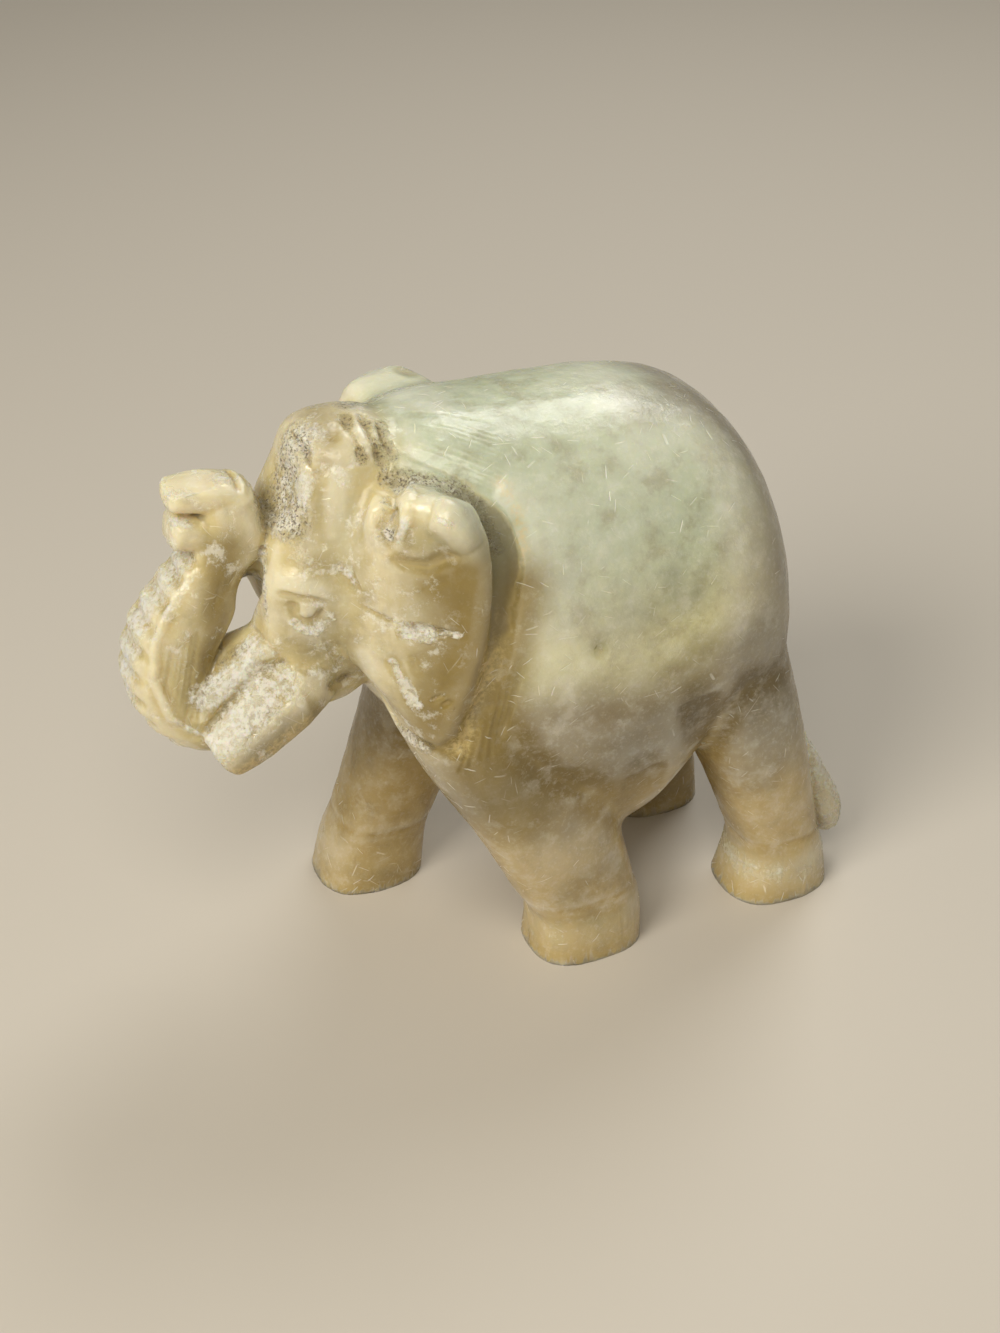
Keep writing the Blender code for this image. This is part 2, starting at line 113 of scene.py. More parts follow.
def normals_of(mesh: bpy.types.Mesh) -> np.ndarray:
    """The normals of a mesh's vertices, one row each."""
    flat = np.empty(len(mesh.vertices) * 3)
    mesh.vertex_normals.foreach_get("vector", flat)
    return flat.reshape(-1, 3)


def move_points(mesh: bpy.types.Mesh, points: np.ndarray) -> None:
    """Put a mesh's vertices at these places, one row each."""
    mesh.vertices.foreach_set("co", points.ravel())
    mesh.update()


def only(*objects: bpy.types.Object) -> None:
    """Select these objects alone, the first of them active."""
    bpy.ops.object.select_all(action="DESELECT")
    for obj in objects:
        obj.select_set(True)
    bpy.context.view_layer.objects.active = objects[0]


def finish_with(obj: bpy.types.Object, kind: str, **settings: object) -> None:
    """Give an object a modifier and apply it.

    Args:
        obj: The object to change.
        kind: The kind of modifier.
        **settings: What to set on the modifier.
    """
    only(obj)
    modifier = obj.modifiers.new(kind.title(), kind)
    for name, value in settings.items():
        setattr(modifier, name, value)
    bpy.ops.object.modifier_apply(modifier=modifier.name)


def curve(values: np.ndarray, places: np.ndarray) -> np.ndarray:
    """Read a smooth curve through a row of values.

    Args:
        values: One row for each value that the curve passes through.
        places: Where to read it, from 0 at its start to 1 at its end.

    Returns:
        One row for each place.
    """
    last = len(values) - 1
    at = np.clip(places, 0, 1) * last
    step = np.minimum(at.astype(int), last - 1)
    t = (at - step)[:, None]
    before, start, end, after = (values[np.clip(step + k, 0, last)] for k in (-1, 0, 1, 2))
    return 0.5 * (
        2 * start
        + (end - before) * t
        + (2 * before - 5 * start + 4 * end - after) * t**2
        + (3 * start - before - 3 * end + after) * t**3
    )


def unit(rows: np.ndarray) -> np.ndarray:
    """Each row at length 1."""
    return rows / np.maximum(np.linalg.norm(rows, axis=1), 1e-9)[:, None]


class Section(NamedTuple):
    """A section of a mass: its centre, and its half sizes in the side view and across it, in squares."""

    x: float
    y: float
    z: float
    deep: float
    wide: float


@dataclass(frozen=True)
class Mass:
    """A rounded body drawn out along its sections.

    The squareness of its sections is 2 for an ellipse and more for a squarer one. The caps are the lengths of
    its rounded ends, and the turn is that of its sections about what they face, in degrees.
    """

    sections: tuple[Section, ...]
    squareness: float
    start_cap: float
    end_cap: float
    facing: Facing = Facing.PATH
    turn: float = 0.0

    def table(self) -> np.ndarray:
        """The sections as rows of numbers."""
        return np.array(self.sections, float)

    def length(self) -> float:
        """The length of the mass along its sections."""
        return float(np.linalg.norm(np.diff(self.table()[:, :3], axis=0), axis=1).sum())

    def opened(self, places: np.ndarray) -> np.ndarray:
        """How far the sections have opened between the rounded ends.

        Args:
            places: Where along the mass, from 0 to 1.

        Returns:
            A share from 0 to 1 for each place.
        """
        length = self.length()
        opened = np.ones(len(places))
        for distance, cap in ((places * length, self.start_cap), ((1 - places) * length, self.end_cap)):
            closing = np.clip(1 - distance / cap, 0, 1)
            opened *= np.sqrt(1 - closing**2)
        inside = (places > 1e-4) & (places < 1 - 1e-4)
        return np.where(inside, np.maximum(opened, LEAST_OPENING), 0)

    def model(self, name: str) -> bpy.types.Object:
        """Model the mass from a ball whose rings are laid on its sections.

        Args:
            name: What to call the new object.

        Returns:
            The new object, in squares.
        """
        rings = max(int(self.length() / RING_SPACING), LEAST_RINGS)
        bpy.ops.object.select_all(action="DESELECT")
        bpy.ops.mesh.primitive_uv_sphere_add(segments=RING_POINTS, ring_count=rings, radius=1)
        ball = bpy.context.object
        ball.name = name
        rough = points_of(ball.data)
        places = np.arccos(np.clip(rough[:, 2], -1, 1)) / math.pi
        turns = np.arctan2(rough[:, 1], rough[:, 0])
        table = self.table()
        read = curve(table, places)
        if self.facing is Facing.PATH:
            ahead = curve(table, np.minimum(places + TANGENT_STEP, 1))
            behind = curve(table, np.maximum(places - TANGENT_STEP, 0))
            along = unit(ahead[:, :3] - behind[:, :3])
        else:
            along = np.tile(np.array(self.facing.value), (len(places), 1))
        across = np.tile(np.array((0.0, 1.0, 0.0)), (len(places), 1))
        across = unit(across - along * (across * along).sum(1)[:, None])
        side = np.cross(across, along)
        c, s = math.cos(math.radians(self.turn)), math.sin(math.radians(self.turn))
        across, side = across * c + side * s, side * c - across * s
        power = 2 / self.squareness
        opened = self.opened(places)
        deep = np.copysign(np.abs(np.cos(turns)) ** power, np.cos(turns)) * read[:, 3] * opened
        wide = np.copysign(np.abs(np.sin(turns)) ** power, np.sin(turns)) * read[:, 4] * opened
        move_points(ball.data, read[:, :3] + side * deep[:, None] + across * wide[:, None])
        bpy.ops.object.mode_set(mode="EDIT")
        bpy.ops.mesh.select_all(action="SELECT")
        bpy.ops.mesh.normals_make_consistent(inside=False)
        bpy.ops.object.mode_set(mode="OBJECT")
        return ball


def laid_on(body: bpy.types.Object, line: list[Point], spacing: float = 1.2) -> list[Point]:
    """Lay a line on the skin, so that it follows the skin's curves.

    Args:
        body: The body to lay it on.
        line: The line's points, each near the skin.
        spacing: How far apart the points of the new line are, in squares.

    Returns:
        The new line.
    """
    rough = np.array(line, float)
    length = float(np.linalg.norm(np.diff(rough, axis=0), axis=1).sum())
    count = max(int(length / spacing), len(line)) + 1
    places = curve(rough, np.linspace(0, 1, count)) if len(rough) > 1 else rough
    return [tuple(body.closest_point_on_mesh(place)[1]) for place in places]


@dataclass(frozen=True)
class Facet:
    """A flat place cut on the skin: all that stands past its plane, near its line, is taken off."""

    line: list[Point]
    reach: float
    middle: Point
    facing: Point

    def cut(self, points: np.ndarray) -> np.ndarray:
        """Take off what stands past the plane.

        Args:
            points: The places of the skin's vertices.

        Returns:
            Their new places.
        """
        near = Stroke(self.line, self.reach / STROKE_REACH, 1.0, 1.0, False).strength(points)
        facing = np.array(self.facing) / np.linalg.norm(self.facing)
        past = np.maximum((points - np.array(self.middle)) @ facing, 0)
        return points - facing * (past * np.minimum(near * FACET_FALLOFF, 1))[:, None]


@dataclass(frozen=True)
class Stroke:
    """A stroke of the tool over the skin.

    It has its half width, how deep it cuts (what is below zero stands out instead), how sharp its section is
    (1 is a rounded trough, 3 a narrow groove), and whether it fades out at its ends.
    """

    line: list[Point]
    width: float
    depth: float = 1.0
    sharpness: float = 1.0
    fades: bool = True

    def on_far_side(self, shift: float = 0.0) -> Stroke:
        """The same stroke on the right side of the figure, moved back by the shift."""
        return replace(self, line=[(x + shift, -y, z) for x, y, z in self.line])

    def near(self, points: np.ndarray) -> np.ndarray:
        """The indices of the points that the stroke may reach."""
        line = np.array(self.line, float)
        reach = STROKE_REACH * self.width
        inside = (points > line.min(0) - reach) & (points < line.max(0) + reach)
        return np.flatnonzero(inside.all(axis=1))

    def strength(self, points: np.ndarray) -> np.ndarray:
        """How strongly the stroke works on each point, from 0 to 1."""
        line = np.array(self.line, float)
        if len(line) == 1:
            nearest = np.linalg.norm(points - line[0], axis=1)
            place = np.full(len(points), 0.5)
        else:
            nearest = np.full(len(points), np.inf)
            place = np.zeros(len(points))
            for number, (start, end) in enumerate(zip(line[:-1], line[1:])):
                along = end - start
                share = np.clip((points - start) @ along / (along @ along), 0, 1)
                distance = np.linalg.norm(points - start - share[:, None] * along, axis=1)
                closer = distance < nearest
                nearest = np.where(closer, distance, nearest)
                place = np.where(closer, (number + share) / (len(line) - 1), place)
        reach = np.clip(1 - nearest / (STROKE_REACH * self.width), 0, 1)
        strength = (reach * reach * (3 - 2 * reach)) ** self.sharpness
        if self.fades:
            strength *= np.sqrt(np.minimum(4 * place * (1 - place) + FADE_LEFT, 1))
        return strength


@dataclass(frozen=True)
class Touch:
    """A touch of one coat, laid along a stroke as strongly as the stroke's depth says."""

    coat: Coat
    stroke: Stroke


def touch(coat: Coat, line: list[Point], width: float, amount: float = 1.0) -> Touch:
    """A soft touch of one coat.

    Args:
        coat: What it lays.
        line: The line that it follows, in squares.
        width: Its half width, in squares.
        amount: How much it lays. Past 1 the grain breaks it up less.

    Returns:
        The touch.
    """
    return Touch(coat, Stroke(line, width, amount, 1.0, False))


@dataclass(frozen=True)
class Marks:
    """A run of like marks between two guide lines, as a rasp or the edge of a file leaves."""

    start_guide: list[Point]
    end_guide: list[Point]
    count: int
    width: float
    depth: float
    sharpness: float = 1.0

    def strokes(self, body: bpy.types.Object) -> list[Stroke]:
        """The marks as single strokes that follow the skin of the body."""
        places = np.linspace(0, 1, self.count)
        starts = curve(np.array(self.start_guide, float), places)
        ends = curve(np.array(self.end_guide, float), places)
        lines = [laid_on(body, [tuple(start), tuple(end)]) for start, end in zip(starts, ends)]
        return [Stroke(line, self.width, self.depth, self.sharpness) for line in lines]


@dataclass
class Region:
    """A part of the figure: the masses that it is built from, its strokes and its touches."""

    def blanks(self) -> list[Mass]:
        """The masses fused softly into the body."""
        return []

    def forms(self) -> list[Mass]:
        """The masses set on the body with a crisper joint."""
        return []

    def cuts(self) -> list[Stroke]:
        """The strokes that carve the region."""
        return []

    def facets(self) -> list[Facet]:
        """The flat places cut on the region, after its strokes."""
        return []

    def marks(self) -> list[Marks]:
        """The runs of rasp and file marks on the region."""
        return []

    def touches(self) -> list[Touch]:
        """The coats that dress the region."""
        return []


@dataclass
class Torso(Region):
    """The barrel of the body, from the neck to the rump, and the hollows of the flank."""

    barrel: Mass = Mass(
        (
            Section(-58, 0, 80, 21, 14),
            Section(-50, 0, 76.5, 28.5, 19),
            Section(-42, 0, 70, 36, 24),
            Section(-32, 0, 63.5, 41.5, 27.5),
            Section(-20, 0, 61, 43.5, 28.5),
            Section(-8, 0, 61.5, 42, 28.5),
            Section(4, 0, 67.5, 32, 28),
            Section(12, 0, 64, 28, 25.5),
            Section(17, 0, 57, 22, 20),
        ),
        2.3,
        5,
        4,
        Facing.LENGTHWISE,
    )
    flank: Stroke = Stroke([(-2, -27, 43), (-4.5, -28.3, 56)], 4.5, 0.7)
    elbow: Stroke = Stroke([(-10.5, -27, 30), (-14, -28.5, 42)], 4.5, 0.8)
    chip: Stroke = Stroke([(-23.4, -28, 70.3)], 1.1, 0.35)
    neck_scores: Marks = Marks(
        [(-36.5, -26, 70), (-40, -26, 66), (-45, -25.8, 60)],
        [(-39.5, -25, 55), (-42, -25, 52), (-47, -24, 50)],
        7,
        0.35,
        0.16,
    )

    def blanks(self) -> list[Mass]:
        """The barrel."""
        return [self.barrel]

    def cuts(self) -> list[Stroke]:
        """The hollows of the flank and behind the elbow, and a round chip on the side."""
        return [self.flank, self.flank.on_far_side(), self.elbow, self.chip]

    def marks(self) -> list[Marks]:
        """The scores down the side of the neck."""
        return [self.neck_scores]

    def touches(self) -> list[Touch]:
        """The grey clouds in the stone, which over the rump are partly painted shade, the yellow of the
        belly, which is painted glow, and the rasped skin of the neck.
        """
        return [
            touch(Coat.CLOUD_AND_SHADE, [(-15.9, -28.2, 49), (-6.5, -27.9, 53)], 7.5, 1.0),
            touch(Coat.CLOUD_AND_SHADE, [(6.5, -27.4, 64), (10.6, -25.9, 46)], 8.5, 0.9),
            touch(Coat.CLOUD_AND_SHADE, [(-7.6, -7.2, 102.5), (3.1, -8.1, 98.9)], 7.0, 0.6),
            # Partly a grey cloud in the stone, partly painted shade where the top and rear edge of the rump
            # face away from the light; the next touch does the same on the far side.
            touch(Coat.CLOUD_AND_SHADE, [(2, -4, 100), (10, -8, 92), (13, -14, 84), (13, -20, 74)], 9.0, 1.0),
            touch(Coat.CLOUD_AND_SHADE, [(2, 6, 100), (10, 10, 92), (13, 14, 80)], 9.0, 1.0),
            touch(Coat.CLOUD_AND_SHADE, [(-20, 24, 84), (-4, 27, 70)], 9.0, 0.8),
            touch(Coat.CLOUD_AND_SHADE, [(4, 26, 56), (10, 24, 44)], 8.0, 0.8),
            # Painted glow: the belly's underside is yellowed for light passing through the stone and bouncing
            # up from the floor.
            touch(Coat.WARM, [(-30, -12, 24), (-18, -14, 19), (-6, -16, 24), (-2, -20, 36)], 6.0, 1.0),
            touch(Coat.WARM, [(-36.5, -16.6, 98.5), (-34.7, -19.7, 94.1), (-35, -22.7, 87.6)], 1.6, 0.7),
            touch(Coat.AMBER, [(-36, -25, 84), (-41, -25, 66), (-44, -24, 50), (-36, -25, 38)], 7.0, 0.85),
            touch(Coat.RASP, [(-36, -25, 72), (-42, -25, 60), (-46, -24, 50)], 7.0, 1.0),
            touch(Coat.RASP, [(-52, -16, 54), (-47, -24, 46), (-42, -25, 34)], 6.0, 0.9),
            touch(Coat.FROST_AND_PAINTED_LIGHT, self.chip.line, 1.0, 0.5),
            touch(Coat.FROST_AND_PAINTED_LIGHT, [(-53.9, -14.3, 54.5), (-51.5, -20.5, 53.8)], 1.5, 0.8),
            touch(Coat.DIRT_AND_SHADE, [(-53.9, -14.3, 54.5), (-51.5, -20.5, 53.8)], 1.5, 0.7),
        ]


@dataclass
class Leg(Region):
    """One leg, with the set-in line above its foot."""

    shaft: Mass
    ankle_height: float = 13.5
    ankle_width: float = 1.1
    ankle_depth: float = 0.14
    frosted_foot: float = 0.15
    # How strongly the shaft is laid with amber: on the far legs this is painted shade, as they stand in shade
    # under the belly.
    amber: float = 0.0
    ankle_points: int = 12

    def blanks(self) -> list[Mass]:
        """The leg and its foot."""
        return [self.shaft]

    def ankle_line(self) -> list[Point]:
        """A ring of points round the leg where the foot is set off from it."""
        table = self.shaft.table()
        heights = table[:, 2][::-1]
        x, y, deep, wide = (np.interp(self.ankle_height, heights, table[:, k][::-1]) for k in (0, 1, 3, 4))
        turns = np.linspace(0, 2 * math.pi, self.ankle_points + 1)
        return [(x + deep * math.cos(t), y + wide * math.sin(t), self.ankle_height) for t in turns]

    def cuts(self) -> list[Stroke]:
        """The line above the foot."""
        return [Stroke(self.ankle_line(), self.ankle_width, self.ankle_depth, 1.0, False)]

    def touches(self) -> list[Touch]:
        """The amber of the shaft, which is painted shade on the far legs, and the paler, slightly frosted
        foot.
        """
        below = [(x, y, z - 6.5) for x, y, z in self.ankle_line()]
        shaft = [section[:3] for section in self.shaft.sections[1:]]
        return [
            touch(Coat.AMBER, shaft, 12.0, self.amber),
            touch(Coat.FROST_AND_PAINTED_LIGHT, below, 4.0, 0.6 * self.frosted_foot),
            touch(Coat.MILK_AND_SHEEN, below, 4.6, self.frosted_foot),
        ]


def left_foreleg() -> Leg:
    """The near foreleg, set back."""
    sections = (
        Section(-40, -11, 66, 18, 12),
        Section(-35.5, -14.5, 48, 15.8, 11.5),
        Section(-28.6, -17, 30, 12.8, 10),
        Section(-22.6, -17, 14, 11.2, 9),
        Section(-20.4, -17.2, 8, 10.4, 8.7),
        Section(-20.8, -17.4, -4, 11, 9.2),
    )
    return Leg(Mass(sections, 2.8, 4, 1, Facing.UPRIGHT), frosted_foot=0.5)


def right_foreleg() -> Leg:
    """The far foreleg, stepping forward."""
    sections = (
        Section(-34, 10, 62, 15, 11),
        Section(-38, 13, 42, 11.5, 10.5),
        Section(-43, 15, 26, 10, 9.5),
        Section(-47.5, 16, 13, 9.3, 9),
        Section(-49, 16.5, 8, 9.8, 9),
        Section(-51, 16.5, -4, 10.6, 9.6),
    )
    # The far foreleg is darkened with painted shade.
    return Leg(Mass(sections, 2.6, 4, 1, Facing.UPRIGHT), amber=0.9)


def left_hindleg() -> Leg:
    """The near hind leg, furthest back."""
    sections = (
        Section(4.5, -11, 62, 12, 14),
        Section(10.3, -14.5, 42, 10.8, 12),
        Section(15.2, -16, 26, 9.4, 10),
        Section(19, -16.3, 13, 8.4, 8.8),
        Section(20.2, -16.5, 8, 8.8, 9),
        Section(19.3, -16.5, -4, 11.5, 9.8),
    )
    return Leg(Mass(sections, 2.6, 4, 1, Facing.UPRIGHT), frosted_foot=0.75)


def right_hindleg() -> Leg:
    """The far hind leg, under the rump."""
    sections = (
        Section(3, 11, 60, 12, 14),
        Section(6.5, 14, 42, 11, 12),
        Section(9, 15, 26, 9.6, 10),
        Section(9.5, 15.5, 13, 8.5, 8.8),
        Section(9.8, 16, 7, 9, 9),
        Section(9, 16, -4, 10.8, 9.8),
    )
    # The far hind leg is darkened with painted shade.
    return Leg(Mass(sections, 2.6, 4, 1, Facing.UPRIGHT), amber=0.9)


@dataclass
class Head(Region):
    """The head: its dome, brows, eyes and cheeks, and the gouges of the nape."""

    skull: Mass = Mass(
        (
            Section(-64.5, 0, 57, 7, 8.5),
            Section(-64.5, 0, 64, 10, 11.5),
            Section(-63, 0, 72, 11.8, 13),
            Section(-61.5, 0, 82, 12.2, 13.5),
            Section(-59.4, 0, 91, 11.4, 12.5),
            Section(-57.8, 0, 99, 9.6, 10.5),
            Section(-57.5, 0, 107, 7.5, 7),
        ),
        2.9,
        4,
        4,
        Facing.UPRIGHT,
    )
    temple: Stroke = Stroke(
        [(-59.2, -9.4, 102.5), (-60.3, -11.2, 99.9), (-60.7, -12.6, 95), (-61.1, -12.4, 91.5)], 4.6, -0.35
    )
    behind_the_temple: Stroke = Stroke(
        [(-56.3, -9, 101.7), (-57.2, -10.8, 98.7), (-58.5, -13.6, 95), (-59.3, -16, 89)], 2.0, 0.3
    )
    beside_the_dome: Stroke = Stroke(
        [
            (-56, 0.4, 106.6),
            (-59.4, -5.2, 105.3),
            (-61.8, -7.4, 102.4),
            (-63.5, -9.4, 98),
            (-64.4, -11.2, 92.4),
        ],
        1.6,
        0.45,
        1.2,
    )
    hollow_of_the_forehead: Stroke = Stroke(
        [(-65.4, -1.2, 101.1), (-67.2, -2.2, 96.8), (-67.6, -6.4, 93.6)], 4.6, 1.7
    )
    crease_of_the_forehead: Stroke = Stroke(
        [(-64.5, -0.1, 104.9), (-64.1, -5.3, 104.3), (-63.2, -7.6, 101)], 0.9, 1.4, 1.3
    )
    mane_gouges: tuple[Stroke, ...] = (
        Stroke([(-55.9, -1.2, 106.3), (-56.6, -4.6, 105), (-56.1, -8.2, 103.1)], 1.2, 1.7, 1.2),
        Stroke([(-53.4, -1.8, 106.2), (-53.8, -5.4, 104.6), (-52.9, -8.6, 102)], 1.2, 1.7, 1.2),
        Stroke([(-51.4, -3.4, 105.6), (-51.7, -6.1, 104.4), (-51.2, -8.6, 102.6)], 0.9, 1.0, 1.2),
    )
    brow: Stroke = Stroke(
        [(-72.3, -9.4, 85), (-69.3, -12.4, 85), (-65.7, -13.9, 84.2), (-63.1, -14.6, 81.6)], 2.8, -0.8
    )
    below_the_brow: Stroke = Stroke(
        [(-72, -10.2, 83.4), (-70, -11.7, 83.2), (-67.3, -13, 82.9), (-64.5, -13.6, 81.6)], 0.8, 0.6, 1.2
    )
    eye_socket: Stroke = Stroke(
        [
            (-69.5, -11.6, 81.3),
            (-69.3, -11.7, 79.5),
            (-68.1, -12.2, 78.5),
            (-66.6, -12.9, 78.7),
            (-65.6, -13.3, 80),
        ],
        1.0,
        0.6,
        0.9,
        False,
    )
    eye: Stroke = Stroke([(-67.8, -12.3, 80.4), (-67.4, -12.6, 80.4)], 1.3, -0.45, 0.7, False)
    under_the_eye: Stroke = Stroke(
        [(-69.4, -11.7, 78.4), (-68.2, -12.2, 77.1), (-66.4, -12.8, 76.9), (-64.8, -13, 78.6)],
        0.8,
        0.5,
        1.2,
    )
    corner_of_the_face: Stroke = Stroke([(-71.5, -8, 94), (-73.6, -9.5, 83), (-74.8, -10.2, 71)], 2.6, -0.7)
    cheek: Stroke = Stroke([(-71.3, -11.4, 75.1), (-69.2, -12.6, 72), (-66.7, -13.6, 69.6)], 3, 0.6)
    behind_the_trunk: Stroke = Stroke([(-74.5, 0, 82), (-74, 4, 75), (-71.5, 9, 68)], 5, 4.6, 1.0, False)
    mouth: Stroke = Stroke([(-65, -13.2, 65.7), (-62.8, -12.4, 63.6), (-60.4, -11.4, 61.5)], 1.2, 0.7, 1.2)

    def blanks(self) -> list[Mass]:
        """The skull."""
        return [self.skull]

    def cuts(self) -> list[Stroke]:
        """The carving of the head, with the face's strokes on both sides."""
        face = [
            self.temple,
            self.brow,
            self.below_the_brow,
            self.eye,
            self.eye_socket,
            self.under_the_eye,
            self.corner_of_the_face,
            self.cheek,
            self.mouth,
        ]
        crown = [
            self.behind_the_trunk,
            self.behind_the_temple,
            self.beside_the_dome,
            self.hollow_of_the_forehead,
            self.crease_of_the_forehead,
            *self.mane_gouges,
        ]
        return crown + face + [stroke.on_far_side() for stroke in face]

    def marks(self) -> list[Marks]:
        """The rasp marks that fan out over the nape, and the hatching of brow and cheek."""
        return [
            Marks(
                [(-51.5, -7.5, 103.4), (-50, -4, 105), (-48, -1, 105.6)],
                [(-38, -17.5, 97), (-34.5, -14.5, 100.5), (-34, -8, 103.6)],
                15,
                0.4,
                0.14,
            ),
            Marks(
                [(-62.6, -13, 88.6), (-60, -14.5, 87)], [(-61.8, -14.6, 85), (-59.6, -16, 84)], 5, 0.4, 0.3
            ),
            Marks(
                [(-65.2, -13.1, 74.6), (-62, -13.6, 73)],
                [(-63, -13, 68), (-60.4, -13, 66.5)],
                4,
                0.45,
                0.25,
            ),
        ]

    def touches(self) -> list[Touch]:
        """Frosting and dirt in the hollow of the forehead, round the eye and in the gouges of the nape, with
        painted light on the temple and brow and a painted highlight beside the eye.
        """
        forehead = [(-63.7, -2.9, 105.4), (-65.4, -2, 101.1), (-67.2, -2.5, 96.8), (-67.6, -6, 93.6)]
        gouges = [touch(Coat.DIRT_AND_SHADE, gouge.line, 1.5, 0.9) for gouge in self.mane_gouges]
        return gouges + [
            touch(Coat.FROST_AND_PAINTED_LIGHT, forehead, 5.0, 0.9),
            touch(Coat.AMBER, [(-60, 2, 107), (-60, -4, 105.5), (-61, -7, 103)], 4.5, 0.6),
            touch(Coat.FROST_AND_PAINTED_LIGHT, [(-65, -7.1, 100.5), (-66.2, -7.8, 95.7)], 2.2, 0.9),
            touch(
                Coat.DIRT_AND_SHADE,
                [(-64.5, -2, 103.5), (-66.5, -1.5, 100), (-68.5, -2.3, 94.5), (-67.2, -6.4, 94)],
                4.6,
                1.15,
            ),
            touch(Coat.DIRT_AND_SHADE, self.crease_of_the_forehead.line, 0.7, 0.8),
            touch(Coat.FROST_AND_PAINTED_LIGHT, [(-63.4, -3.5, 105.4), (-62.8, -8, 101.4)], 1.2, 0.6),
            touch(Coat.DIRT_AND_SHADE, self.mouth.line, 1.3, 0.5),
            # Darkens the crease below the brow.
            touch(Coat.DIRT_AND_SHADE, self.below_the_brow.line[:3], 0.6, 0.5),
            touch(
                Coat.FROST_AND_PAINTED_LIGHT,
                [(-69.6, -11.6, 78.2), (-68.4, -12.2, 76.8), (-66.6, -13, 76.5), (-64.7, -13, 78)],
                1.0,
                1.2,
            ),
            # Painted highlight: the temple is whitened for its glossy sheen.
            touch(Coat.MILK_AND_SHEEN, self.temple.line, 3.6, 0.8),
            touch(Coat.MILK_AND_SHEEN, [(-58, -1, 108), (-62, -1, 106), (-66, 0, 102)], 4.0, 0.15),
            # Painted light: the brow is whitened where the light falls on it.
            touch(Coat.MILK_AND_SHEEN, self.brow.line, 2.4, 0.6),
            touch(Coat.DIRT_AND_SHADE, [(-68.2, -12.6, 81.2), (-67.6, -12.9, 81)], 0.35, 0.9),
            # Painted highlight: a white glint beside the eye.
            touch(Coat.FROST_AND_PAINTED_LIGHT, [(-64.4, -13, 80), (-63.8, -13.6, 78.8)], 0.8, 1.1),
            touch(
                Coat.FROST_AND_PAINTED_LIGHT,
                [(-71.8, -4.7, 89), (-72.8, -7, 83.7), (-74, -9, 77.8), (-74.8, -9.8, 71.8)],
                1.2,
                0.7,
            ),
            touch(Coat.DIRT_AND_SHADE, [(-71.8, -4.7, 89), (-72.8, -7, 83.7), (-74, -9, 77.8)], 1.2, 0.6),
            touch(Coat.FROST_AND_PAINTED_LIGHT, [(-68.5, -10.5, 90), (-66, -12.5, 88)], 2.4, 0.5),
            touch(Coat.FROST_AND_PAINTED_LIGHT, [(-66, -13.4, 73.5), (-63, -13.4, 69)], 2.2, 0.5),
            touch(Coat.FROST_AND_PAINTED_LIGHT, [(-62, -12.9, 87.7), (-60.9, -15.1, 85.6)], 1.1, 0.7),
            touch(Coat.RASP, [(-52, -4, 105), (-44, -10, 103.4), (-36, -14, 100.5)], 7.0, 1.0),
            touch(Coat.RASP, [(-61, -2, 107), (-58, 4, 107)], 6.0, 0.8),
        ]


